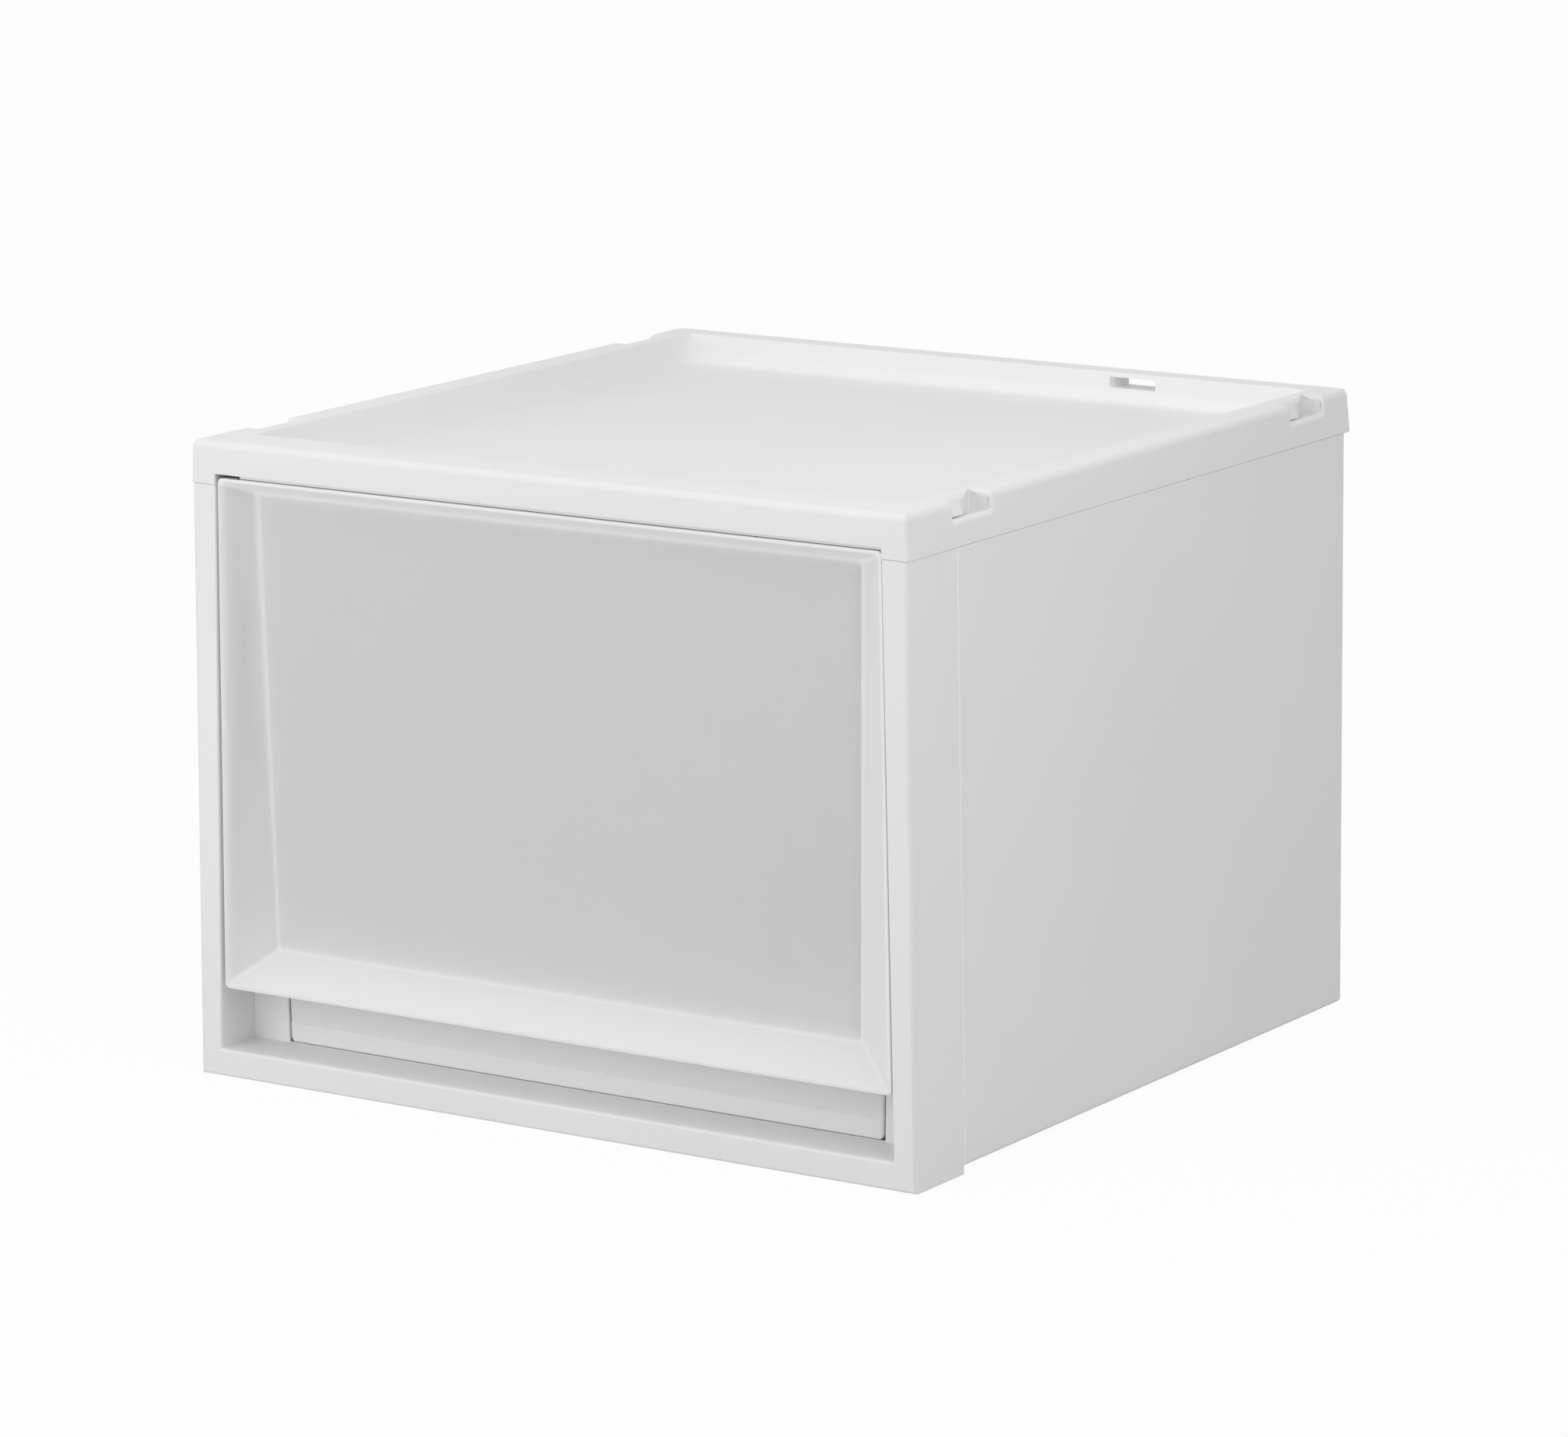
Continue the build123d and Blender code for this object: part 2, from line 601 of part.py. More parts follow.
def tub_grow(height):
    """How far the tub's walls have moved outwards at a height above its foot."""
    return height * tan(radians(tub_draft))


with BuildPart() as drawer_box:
    with BuildSketch(Plane.XY.offset(tub_z)):
        with Locations((0, tub_middle_y)):
            Rectangle(2 * tub_half_width, tub_length)
    extrude(amount=band_height, taper=-tub_draft)
    long_edges = drawer_box.edges().filter_by(Axis.Y).group_by(Axis.Z)[0]
    fillet(long_edges, radius=tub_corner)
    end_faces = drawer_box.faces().filter_by(lambda face: abs(face.normal_at().Y) > 0.9)
    fillet([edge for face in end_faces for edge in face.edges() if edge.center().Z < band_top_z - close],
           radius=tub_edge)
    grow = tub_grow(band_height)
    with BuildSketch(Plane.XY.offset(band_top_z)):
        with Locations((0, tub_middle_y)):
            RectangleRounded(2 * (tub_half_width + grow), wall_length + 2 * grow, tub_edge)
    extrude(amount=tub_height - band_height, taper=-tub_draft)

    # Bead round the rim
    grow = tub_grow(tub_height - bead_height)
    with BuildSketch(Plane.XY.offset(tub_top_z - bead_height)):
        with Locations((0, tub_middle_y)):
            RectangleRounded(2 * (tub_half_width + grow + bead_proud), wall_length + 2 * (grow + bead_proud),
                             tub_edge + bead_proud)
    extrude(amount=bead_height)
    fillet(drawer_box.faces().sort_by(Axis.Z)[-1].edges(), radius=0.4 * bead_height)

    # Stops
    stop_outer = throat_half(stop_top_z) + stop_reach
    for side in (-1, 1):
        with BuildSketch(from_front(stop_front_y)):
            Polygon(
                (side * (tub_half(stop_top_z - stop_height) - drawer_wall / 2), stop_top_z - stop_height),
                (side * stop_outer, stop_top_z - stop_height / 2),
                (side * stop_outer, stop_top_z),
                (side * (tub_half(stop_top_z) - drawer_wall / 2), stop_top_z),
                align=None,
            )
        extrude(amount=-stop_length)

    # Inside
    grow = tub_grow(drawer_wall)
    with BuildSketch(Plane.XY.offset(tub_z + drawer_wall)):
        with Locations((0, tub_middle_y)):
            RectangleRounded(2 * (tub_half_width - drawer_wall + grow), wall_length - 2 * (drawer_wall - grow),
                             tub_inner_corner)
    extrude(amount=tub_height, taper=-tub_draft, mode=Mode.SUBTRACT)

    # Peg holes in the front wall
    for x, z in peg_places:
        with BuildSketch(from_front(tub_front_y - overcut - tub_grow(tub_height))):
            with Locations((x, z)):
                Circle(peg_size / 2 + joint_gap / 2)
        extrude(amount=-(band_proud + drawer_wall + 2 * overcut + tub_grow(tub_height)), mode=Mode.SUBTRACT)
drawer_box.part.label = "drawer_box"
export_step(drawer_box.part, "parts/drawer_box.step")
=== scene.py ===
# %% [markdown]
# A stackable storage box with one deep drawer, dressed for a product picture. The case is opaque
# white polypropylene. The drawer is the same plastic without its white pigment, so it looks frosted
# and a little darker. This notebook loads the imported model, sets the camera, writes the plastics as
# shader expressions, and builds the visible mouldings again as smooth numpy surfaces.

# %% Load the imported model
from math import hypot, pi, radians, tan

import bmesh
import bpy
import numpy as np
from mathutils import Matrix, Vector


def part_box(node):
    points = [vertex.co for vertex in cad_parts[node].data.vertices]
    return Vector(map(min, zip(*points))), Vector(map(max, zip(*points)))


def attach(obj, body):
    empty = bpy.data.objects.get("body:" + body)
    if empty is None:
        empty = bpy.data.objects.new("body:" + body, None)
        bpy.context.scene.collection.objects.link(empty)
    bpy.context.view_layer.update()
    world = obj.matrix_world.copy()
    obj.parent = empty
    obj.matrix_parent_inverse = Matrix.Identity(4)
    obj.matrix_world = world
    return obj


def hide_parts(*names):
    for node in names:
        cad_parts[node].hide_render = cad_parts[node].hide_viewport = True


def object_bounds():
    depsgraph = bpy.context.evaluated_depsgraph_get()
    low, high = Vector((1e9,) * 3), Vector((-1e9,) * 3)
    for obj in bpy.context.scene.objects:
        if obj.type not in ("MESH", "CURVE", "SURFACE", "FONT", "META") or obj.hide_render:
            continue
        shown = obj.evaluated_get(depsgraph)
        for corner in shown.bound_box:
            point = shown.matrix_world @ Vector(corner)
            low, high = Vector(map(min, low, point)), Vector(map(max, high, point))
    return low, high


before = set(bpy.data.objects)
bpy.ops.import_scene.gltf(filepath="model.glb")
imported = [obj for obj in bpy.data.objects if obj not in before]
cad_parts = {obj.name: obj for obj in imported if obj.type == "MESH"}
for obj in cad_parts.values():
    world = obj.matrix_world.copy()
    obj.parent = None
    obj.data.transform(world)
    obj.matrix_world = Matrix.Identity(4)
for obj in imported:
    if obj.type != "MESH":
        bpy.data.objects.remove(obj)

cad_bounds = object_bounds()
print("model box:", cad_bounds)

# %% [markdown]
# The camera comes first, because every later choice is judged through it. It was solved from the
# corners of the box: it stands to the right of the front and a little above, far away and with a
# long lens, so the edges that run to the back hardly close in on each other. The three directions
# below are the picture's right, its up, and the way back to the camera.

# %% Camera
right = Vector((0.83616852, 0.54842208, -0.0074452))
upward = Vector((-0.10728304, 0.17685444, 0.97837255))
backward = Vector((0.53787783, -0.81728558, 0.2067165))
eye = Vector((1.66052, -2.52406, 0.79113))

lens = bpy.data.cameras.new("long_lens")
lens.sensor_fit = "HORIZONTAL"
lens.sensor_width = 36.0
lens.lens = 152.446
lens.dof.use_dof = False
lens.clip_end = 50.0
camera = bpy.data.objects.new("camera", lens)
turn = Matrix((right, upward, backward)).transposed().to_4x4()
camera.matrix_world = Matrix.Translation(eye) @ turn
bpy.context.scene.collection.objects.link(camera)
bpy.context.scene.camera = camera
bpy.context.scene.view_settings.view_transform = "Standard"
print("camera", [round(value, 3) for value in eye], "from the origin:", round(eye.length, 3), "m")

# %% [markdown]
# Materials are node networks, but they read better as sums. The first small class holds one socket
# of a network; adding, multiplying or subtracting two of them adds the Math node that does it, so a
# bump height can be written as one line of arithmetic. Every other kind of node comes from the one
# method at the end, which sets the node's settings first and then joins or fills its sockets.

# %% Shader maths as expressions
class Wire:
    """One output socket of a network, with arithmetic that adds Math nodes."""

    def __init__(self, network, socket):
        self.network = network
        self.socket = socket

    def _math(self, kind, first, second):
        return self.network.node("ShaderNodeMath", {"operation": kind}, {0: first, 1: second})

    def __add__(self, other):
        return self._math("ADD", self, other)

    def __radd__(self, other):
        return self._math("ADD", other, self)

    def __sub__(self, other):
        return self._math("SUBTRACT", self, other)

    def __rsub__(self, other):
        return self._math("SUBTRACT", other, self)

    def __mul__(self, other):
        return self._math("MULTIPLY", self, other)

    def __rmul__(self, other):
        return self._math("MULTIPLY", other, self)


class Network:
    """The nodes of one material, or of the world."""

    def __init__(self, owner):
        owner.use_nodes = True
        self.tree = owner.node_tree
        self.tree.nodes.clear()

    def node(self, kind, settings=None, sockets=None, output=0):
        """Adds a node, sets its settings, then gives its sockets values or links."""
        made = self.tree.nodes.new(kind)
        for key, value in (settings or {}).items():
            if key == "stops":
                for element, (place, colour) in zip(made.color_ramp.elements, value):
                    element.position = place
                    element.color = colour
            else:
                setattr(made, key, value)
        for key, value in (sockets or {}).items():
            if isinstance(value, Wire):
                self.tree.links.new(value.socket, made.inputs[key])
            else:
                made.inputs[key].default_value = value
        return Wire(self, made.outputs[output]) if made.outputs else None


def grey(value):
    """A neutral colour."""
    return (value, value, value, 1.0)


print("a plain grey is", grey(0.5))

# %% [markdown]
# The case. A mould for a household box is spark-eroded or blasted, which leaves a fine even grain
# that turns the plastic satin. Two scales of noise stand for it: the grain, about half a millimetre
# across, and a cloud of about ten centimetres, for the uneven cooling of thin walls. Both read
# Object coordinates, so the grain has the same size on every piece.
#
# Edges, creases and walls that sit in shade are painted paler than the flats: painted highlights
# and painted light. A point attribute of the mesh says how much each point gets: 0 is the plain
# plastic and 1 is the palest. An attribute was chosen over a node that guesses edges from the
# curvature, because it is exact.

# %% White moulded polypropylene
NOISE, PLAIN_NOISE = "ShaderNodeTexNoise", {"noise_dimensions": "3D"}
REFRACTION = 1.49


def case_plastic():
    material = bpy.data.materials.new("case_plastic")
    net = Network(material)
    place = net.node("ShaderNodeTexCoord", output="Object")
    grain = net.node(NOISE, PLAIN_NOISE,
                     {"Vector": place, "Scale": 1900.0, "Detail": 2.0, "Roughness": 0.55})
    cloud = net.node(NOISE, PLAIN_NOISE,
                     {"Vector": place, "Scale": 9.0, "Detail": 2.0, "Roughness": 0.5})
    darker, lighter = (0.915, 0.917, 0.918, 1.0), (0.935, 0.936, 0.935, 1.0)
    tint = net.node("ShaderNodeValToRGB", {"stops": [(0.3, darker), (0.7, lighter)]},
                    {"Fac": cloud})
    # Painted light: where the attribute is high, the tint turns near white, for painted highlights
    # and lightened shade
    share = net.node("ShaderNodeAttribute", {"attribute_name": "painted_light"}, output="Fac")
    # The colour sockets of a Mix node are numbers 6 and 7, and its colour output is number 2
    painted_light_tint = net.node("ShaderNodeMix", {"data_type": "RGBA"},
                     {"Factor": share, 6: tint, 7: grey(0.99)}, output=2)
    height = 0.7 * grain + 0.3 * cloud
    relief = net.node("ShaderNodeBump", {},
                      {"Strength": 0.12, "Distance": 0.0004, "Height": height})
    gloss = 0.40 + 0.10 * grain + 0.04 * cloud
    shader = net.node("ShaderNodeBsdfPrincipled", {},
                      {"Base Color": painted_light_tint, "Roughness": gloss, "Normal": relief,
                       "IOR": REFRACTION, "Specular IOR Level": 0.45,
                       "Subsurface Weight": 0.06, "Subsurface Radius": (0.002, 0.002, 0.002),
                       "Subsurface Scale": 1.0})
    net.node("ShaderNodeOutputMaterial", {}, {"Surface": shader})
    return material


white = case_plastic()
print("made", white.name, "with", len(white.node_tree.nodes), "nodes")

# %% [markdown]
# The drawer. Without pigment, polypropylene lets light in and scatters it, so a thin wall looks
# grey beside the white case and turns paler where it bends or ends. Subsurface scattering gives
# that look at less cost than real transmission would, and keeps the drawer's inside from showing.
# The same attribute mixes in a plastic without depth, which comes out paler: painted highlights on
# bends and edges, and painted light where the drawer sits in shade. The tub's copy gets far less
# depth than the dish, so that its wall, in the shade under the drawer's lip, comes out lighter:
# a lit copy of the same plastic, which is painted light.

# %% Frosted polypropylene
def frosted_plastic(name, low, high, depth):
    """low and high are the cloud's two greys, and depth is how far light travels, in metres."""
    material = bpy.data.materials.new(name)
    net = Network(material)
    place = net.node("ShaderNodeTexCoord", output="Object")
    grain = net.node(NOISE, PLAIN_NOISE,
                     {"Vector": place, "Scale": 1500.0, "Detail": 2.0, "Roughness": 0.5})
    cloud = net.node(NOISE, PLAIN_NOISE,
                     {"Vector": place, "Scale": 7.0, "Detail": 3.0, "Roughness": 0.5})
    darker, lighter = (low, low + 0.002, low + 0.002, 1.0), (high, high + 0.001, high, 1.0)
    tint = net.node("ShaderNodeValToRGB", {"stops": [(0.3, darker), (0.7, lighter)]},
                    {"Fac": cloud})
    height = 0.6 * grain + 0.4 * cloud
    relief = net.node("ShaderNodeBump", {},
                      {"Strength": 0.08, "Distance": 0.0004, "Height": height})
    gloss = 0.34 + 0.10 * grain
    surface = {"Base Color": tint, "Roughness": gloss, "Normal": relief,
               "IOR": REFRACTION, "Specular IOR Level": 0.5}
    inside = {"Subsurface Weight": 1.0, "Subsurface Radius": (depth, depth, depth),
              "Subsurface Scale": 1.0}
    clear = net.node("ShaderNodeBsdfPrincipled", {}, {**surface, **inside})
    # The plastic without depth comes out paler; the attribute mixes it in as painted highlights and
    # painted light
    painted_light_shader = net.node("ShaderNodeBsdfPrincipled", {}, surface)
    share = net.node("ShaderNodeAttribute", {"attribute_name": "painted_light"}, output="Fac")
    shader = net.node("ShaderNodeMixShader", {}, {0: share, 1: clear, 2: painted_light_shader})
    net.node("ShaderNodeOutputMaterial", {}, {"Surface": shader})
    return material


frosted = frosted_plastic("frosted_plastic", 0.971, 0.983, 0.007)
# A lighter copy for the tub: less depth, so its wall in the shade under the drawer's lip comes out
# lighter, which is painted light
frosted_tub_painted_lighter = frosted_plastic("frosted_tub_plastic_painted_lighter", 0.972, 0.984, 0.001)
print("made", frosted.name, "and", frosted_tub_painted_lighter.name)

# %% [markdown]
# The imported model's own nodes get their plastics too. Each of them is replaced below by a smoother
# twin, but a node that lost its twin would still show in the right finish.

# %% Give the model's nodes their plastics
finishes = {"case_body": white, "front_frame": white, "top_panel": white,
            "drawer_box": frosted, "drawer_front": frosted}
for name, material in finishes.items():
    node = bpy.data.objects[name]
    node.data.materials.clear()
    node.data.materials.append(material)
    print(name, "faces", len(node.data.polygons), "material", material.name)

# %% [markdown]
# Every moulding below is a numpy surface. A profile is carried round an outline: each place on the
# outline is a station, each point of the profile gives one ring of stations, and four-sided faces
# join a ring to the next. Bevel modifiers could round the edges of plain blocks, but here the radii
# change along an edge, as they do on a real mould, and arcs worked out by formula follow them.
# Sizes are in millimetres, as on a drawing, and become metres when the mesh is made.

# %% Outlines with rounded corners
STEPS = 6       # segments in each corner of an outline
BEND_STEPS = 4  # segments in each rounded corner of a profile


def rounded_outline(corners, inset=0.0, radius=1.0, steps=STEPS):
    """Points round a straight-sided outline, anticlockwise, moved in, with its corners as arcs.

    A side from p to q has the outward normal n = (dy, -dx) / |q - p| and the reach
    d = n . p - inset. Sides 1 and 2 meet at C = ((d1 - c d2) n1 + (d2 - c d1) n2) / (1 - c^2),
    where c = n1 . n2. The arc's centre is C - r (n1 + n2) / (1 + c), and its points lie r from
    there, along the great-circle blend of n1 and n2. A negative r rounds a hollow corner.
    """
    corners = np.asarray(corners, float)
    along = np.roll(corners, -1, axis=0) - corners
    normals = np.stack([along[:, 1], -along[:, 0]], axis=1)
    normals /= np.linalg.norm(normals, axis=1, keepdims=True)
    reaches = (normals * corners).sum(1) - inset
    n1, d1 = np.roll(normals, 1, axis=0), np.roll(reaches, 1)[:, None]
    n2, d2 = normals, reaches[:, None]
    c = (n1 * n2).sum(1, keepdims=True)
    meet = ((d1 - c * d2) * n1 + (d2 - c * d1) * n2) / (1 - c ** 2)
    radius = np.broadcast_to(radius, len(corners))[:, None]
    centre = meet - radius * (n1 + n2) / (1 + c)
    angle = np.arccos(c)[:, None]
    t = np.linspace(0.0, 1.0, steps + 1)[None, :, None]
    blend = np.sin((1 - t) * angle) * n1[:, None] + np.sin(t * angle) * n2[:, None]
    arc = blend / np.sin(angle)
    return (centre[:, None] + radius[:, None] * arc).reshape(-1, 2)


def level_loop(outline, level):
    """The outline as stations at one height."""
    return np.column_stack([outline, np.full(len(outline), float(level))])


square = [(0, 0), (9, 0), (9, 9), (0, 9)]
print("a square with round corners has", len(rounded_outline(square)), "points")

# %% Rings along a profile
def bend(before, corner, after, radius, steps=BEND_STEPS):
    """Rings that round the corner C of a profile at every station, as arcs of one radius.

    P(t) = ((1 - t)^2 A + 2 w t (1 - t) C + t^2 B) / ((1 - t)^2 + 2 w t (1 - t) + t^2)

    A and B lie r sqrt((1 + c) / (1 - c)) from C along its two legs, where c is the cosine between
    the legs, and w = sqrt((1 - c) / 2).
    """
    def unit(goal):
        # A leg of no length stays nothing, where dividing by its length would leave no number
        leg = goal - corner
        return leg / np.maximum(np.linalg.norm(leg, axis=-1, keepdims=True), 1e-9)

    to_before, to_after = unit(before), unit(after)
    c = np.clip((to_before * to_after).sum(-1, keepdims=True), -0.99999, 0.99)
    reach = radius * np.sqrt((1 + c) / (1 - c))
    weight = np.sqrt((1 - c) / 2)
    t = np.linspace(0.0, 1.0, steps + 1)[:, None, None]
    first, middle, last = (1 - t) ** 2, 2 * weight * t * (1 - t), t ** 2
    start, end = corner + reach * to_before, corner + reach * to_after
    return (first * start + middle * corner + last * end) / (first + middle + last)


def profile(*points):
    """Rings through (stations, radius) pairs, rounded at all but the first and the last."""
    places = [place for place, _ in points]
    rings = [places[0][None]]
    for k in range(1, len(points) - 1):
        rings.append(bend(places[k - 1], places[k], places[k + 1], points[k][1]))
    rings.append(places[-1][None])
    return np.concatenate(rings)


print("each rounded corner of a profile adds", BEND_STEPS + 1, "rings")

# %% [markdown]
# A real piece is one moulding, but its shape is gathered from several closed surfaces, such as a
# shell and its ribs. They run into each other and need no boolean cut, because the places where
# they overlap lie inside the plastic. At the end the seams are closed, all faces are turned
# outward, and edges sharper than 32 degrees are marked, so that flats stay flat and arcs round.

# %% Mouldings gathered from surfaces
METRES, SAME_PLACE, SHARP = 0.001, 0.000002, radians(32)


class Moulding:
    """One plastic piece, gathered from closed numpy surfaces."""

    def __init__(self, name):
        self.name = name
        self.points = []
        self.faces = []
        self.painted_light_amount = []
        self.count = 0

    def rings(self, rings, keep=None, painted_light_amount=0.0):
        """Joins rings of stations with faces and closes both ends. keep switches faces off."""
        rings = np.asarray(rings, float)
        number, stations = rings.shape[:2]
        index = self.count + np.arange(number * stations).reshape(number, stations)
        onward = np.roll(index, -1, axis=1)
        quads = np.stack([index[:-1], onward[:-1], onward[1:], index[1:]], axis=-1)
        if keep is not None:
            quads = quads[keep]
        self.faces += quads.reshape(-1, 4).tolist()
        self.faces += [index[0][::-1].tolist(), index[-1].tolist()]
        self.points.append(rings.reshape(-1, 3))
        self.painted_light_amount.append(np.broadcast_to(painted_light_amount, (number, stations)).ravel())
        self.count += number * stations
        return index

    def box(self, low, high):
        """A plain block between two corners, for ribs, runners and other hidden shapes."""
        x, y, z = zip(low, high)
        plan = ((0, 0), (1, 0), (1, 1), (0, 1))
        return self.rings([[(x[i], y[j], level) for i, j in plan] for level in z])

    def finish(self, body, material):
        """Makes the object in metres, with closed seams and its faces outward."""
        mesh = bpy.data.meshes.new(self.name)
        mesh.from_pydata(np.concatenate(self.points) * METRES, [], self.faces)
        # Each point's share of painted light, painted highlights and lightened shade, which the
        # plastics read
        layer = mesh.attributes.new("painted_light", "FLOAT", "POINT")
        layer.data.foreach_set("value", np.concatenate(self.painted_light_amount).astype(np.float32))
        work = bmesh.new()
        work.from_mesh(mesh)
        bmesh.ops.remove_doubles(work, verts=work.verts, dist=SAME_PLACE)
        bmesh.ops.dissolve_degenerate(work, edges=work.edges, dist=SAME_PLACE)
        bmesh.ops.recalc_face_normals(work, faces=work.faces)
        work.to_mesh(mesh)
        work.free()
        mesh.shade_smooth()
        mesh.set_sharp_from_angle(angle=SHARP)
        mesh.materials.append(material)
        piece = bpy.data.objects.new(self.name, mesh)
        bpy.context.scene.collection.objects.link(piece)
        even = piece.modifiers.new("flat_faces_keep_their_normals", "WEIGHTED_NORMAL")
        even.weight = 100
        even.keep_sharp = True
        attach(piece, body)
        print(piece.name, "faces", len(mesh.polygons))
        return piece


print("points nearer than", SAME_PLACE, "m to each other become one")

# %% [markdown]
# The walls of a mould lean a little, so that the plastic lets go of the steel. That lean is called
# draft, and each family of walls has its own: the case's sides, the drawer's opening, and the tub
# with the flanges beside it. Each half width below is a straight line in the height.

# %% Sizes that the mouldings share
def lean(degrees):
    """How far a wall moves sideways for each millimetre of height."""
    return tan(radians(degrees))


cad_low, cad_high = (np.array(corner) * 1000 for corner in cad_bounds)
cad_half, box_front, box_back, box_top = cad_high[0], cad_low[1], cad_high[1], cad_high[2]
seam = box_top - 20.0
rail_top, frame_depth = 13.1, 39.5
side_lean, window_lean, tub_lean = lean(0.67), lean(1.02), lean(1.2)
tub_half, tub_foot, tub_back_y = 161.75, 13.7, 167.05
tub_front_y = box_front + 25.3
band_step = 0.4


def window_half(level):
    """Half width of the drawer's opening at a height."""
    return 182.9 - (level - rail_top) * window_lean


def frame_half(level):
    """Half width of the front frame at a height."""
    return 194.5 - level * side_lean


def throat_half(level):
    """Half width between the flanges at a height."""
    return 162.7 + (level - rail_top) * tub_lean


def tub_front(level):
    """Front of the tub's wall at a height, above its foot band."""
    return tub_front_y + band_step - (level - tub_foot) * tub_lean


def trapezoid(half_low, half_high, low, high):
    """Corners of an upright outline, even on both sides, anticlockwise from the lower left."""
    return [(-half_low, low), (half_low, low), (half_high, high), (-half_high, high)]


def by_side(first, second, third, fourth, crest=0.0):
    """One value for each station of an outline with four sides.

    At a corner between values a and b it is (1 - t) a + t b + crest sin(pi t), with t from 0 to 1.
    """
    values = np.array([first, second, third, fourth], float)
    t = np.linspace(0.0, 1.0, STEPS + 1)
    mixed = (1 - t) * np.roll(values, 1)[:, None] + t * values[:, None]
    return (mixed + crest * np.sin(pi * t)).reshape(-1)


print("the opening is", round(2 * window_half(rail_top), 1), "mm wide at its foot")

# %% [markdown]
# The drawer's front is a dish. Its flat is a little deeper at the foot than at the top, so the four
# bevels between the flat and the rim all differ, and they meet in soft mitres. A flat plate with a
# bevelled hole would meet in straight mitres only, so the dish is two outlines at their own depths,
# and every station runs straight from one to the other.

# %% Sizes of the drawer's front
dish_low, dish_high = (np.array(corner) * 1000 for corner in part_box("drawer_front"))
dish_face, dish_lip, dish_top, dish_half = dish_low[1], dish_low[2], dish_high[2], dish_high[0]
dish_top_half = dish_half - (dish_top - dish_lip) * lean(0.70)
dish_rim, dish_wall = 1.6, 2.0
top_depth, foot_depth = 10.1, 12.5
middle_depth = (top_depth + foot_depth) / 2
borders = np.array([18.0, 18.4, 6.2, 18.4])
depths = np.array([foot_depth, middle_depth, top_depth, middle_depth])
slopes = (borders - dish_rim) / depths
flat_low, flat_high = dish_lip + borders[0], dish_top - borders[2]
flat_half_low, flat_half_high = dish_half - 22.2, dish_top_half - 14.7


def dish_at(outline, depth):
    """Stations of an outline of the front view, at a depth behind the rim."""
    behind = dish_face + depth * np.ones(len(outline))
    return np.stack([outline[:, 0], behind, outline[:, 1]], axis=1)


def dish_flat(outline, behind=0.0):
    """Stations of an outline on the flat, whose depth is a straight line in the height."""
    share = (flat_high - outline[:, 1]) / (flat_high - flat_low)
    return dish_at(outline, top_depth + share * (foot_depth - top_depth) + behind)


print("bevels lean by", np.degrees(np.arctan(slopes)).round(1), "degrees")

# %% [markdown]
# The dish's profile runs from the flat out over the rim and back along the side walls, and then
# forward again behind the dish, at the wall's thickness. The bevels, creases, mitres and rim get
# painted light, each by its own amount, so they are paler than the flat: painted highlights and a
# painted glow, standing in for light that catches the bends and leaks round them through the plastic.

# %% Drawer front
def drawer_front_shell():
    """Rings over the same 28 stations: flat, crease, bevel, rim, side wall, then the inside."""
    # Drawn on the right only: there the front reaches nearer to the post than on the left
    wider = np.array([(0.0, 0.0), (1.6, 0.0), (0.7, 0.0), (0.0, 0.0)])
    rim_sides = trapezoid(dish_half, dish_top_half, dish_lip, dish_top) + wider
    flat_sides = trapezoid(flat_half_low, flat_half_high, flat_low, flat_high) + wider
    slant = np.hypot(1, slopes)
    skin = dish_wall * (slant - slopes)
    hidden_depths = (dish_wall - dish_rim + dish_wall * slant) / slopes
    lip_depth = (dish_wall * hypot(1, slopes[0]) - dish_rim) / slopes[0]
    side_depth, roof_depth = 24.6, 21.0
    end_depth = by_side(lip_depth, side_depth, roof_depth, side_depth)
    inside_depth = by_side(lip_depth + 0.1, *hidden_depths[1:])

    outer = rounded_outline(rim_sides, radius=2.4)
    inset = np.array([0.1, dish_wall, dish_wall, dish_wall])
    inner = rounded_outline(rim_sides, inset=inset, radius=0.8)
    mouth = rounded_outline(rim_sides, inset=dish_rim, radius=2.3)
    flat = rounded_outline(flat_sides, radius=2.3)
    middle = rounded_outline(flat_sides, inset=6.0, radius=1.0)
    back = rounded_outline(flat_sides, inset=-skin, radius=3.0)
    front = profile(
        (dish_flat(middle), 0),
        (dish_flat(flat), 8.0),
        (dish_at(mouth, 0.0), 2.4),
        (dish_at(outer, 0.0), 0.5),
        (dish_at(outer, end_depth), 0),
    )
    behind = [dish_at(inner, end_depth), dish_at(inner, inside_depth),
              dish_flat(back, dish_wall), dish_flat(middle, dish_wall)]

    # How much painted light each ring gets, for the foot, right, top and left side, with a painted
    # highlight crest in the mitres
    plain = np.full(4 * (STEPS + 1), 0.1)
    beside, crease = by_side(0.35, 0.0, 0.3, 0.2), by_side(0.5, 0.8, 1.0, 0.6, 0.2)
    bevel, edge = by_side(0.05, 0.55, 1.0, 0.3, 0.3), by_side(0.35, 0.8, 1.0, 0.3, 0.3)
    rim = by_side(0.7, 1.0, 1.0, 0.8)
    painted_light_amount = [plain, beside, 0.8 * crease, crease, (crease + bevel) / 2, bevel]
    painted_light_amount += [bevel + share * (edge - bevel) for share in (0.2, 0.5, 0.8, 1.0, 1.0)]
    painted_light_amount += [rim] * (BEND_STEPS + 2) + [plain] * len(behind)
    shell = Moulding("drawer_front_shell")
    shell.rings(np.concatenate([front, behind]), painted_light_amount=painted_light_amount)
    return shell.finish("drawer", frosted)


dish = drawer_front_shell()

# %% [markdown]
# Four pegs behind the dish snap into holes in the tub. They are hardly seen, but they are part of
# the real thing, and they show with the drawer out. A peg is a lathe shape: one profile of places
# and radii carried round a circle.

# %% Pegs of the drawer's front
boss, neck, cap, cap_end = 6.0, 2.5, 4.0, 3.4
hair = 0.2
peg_x = 118.15


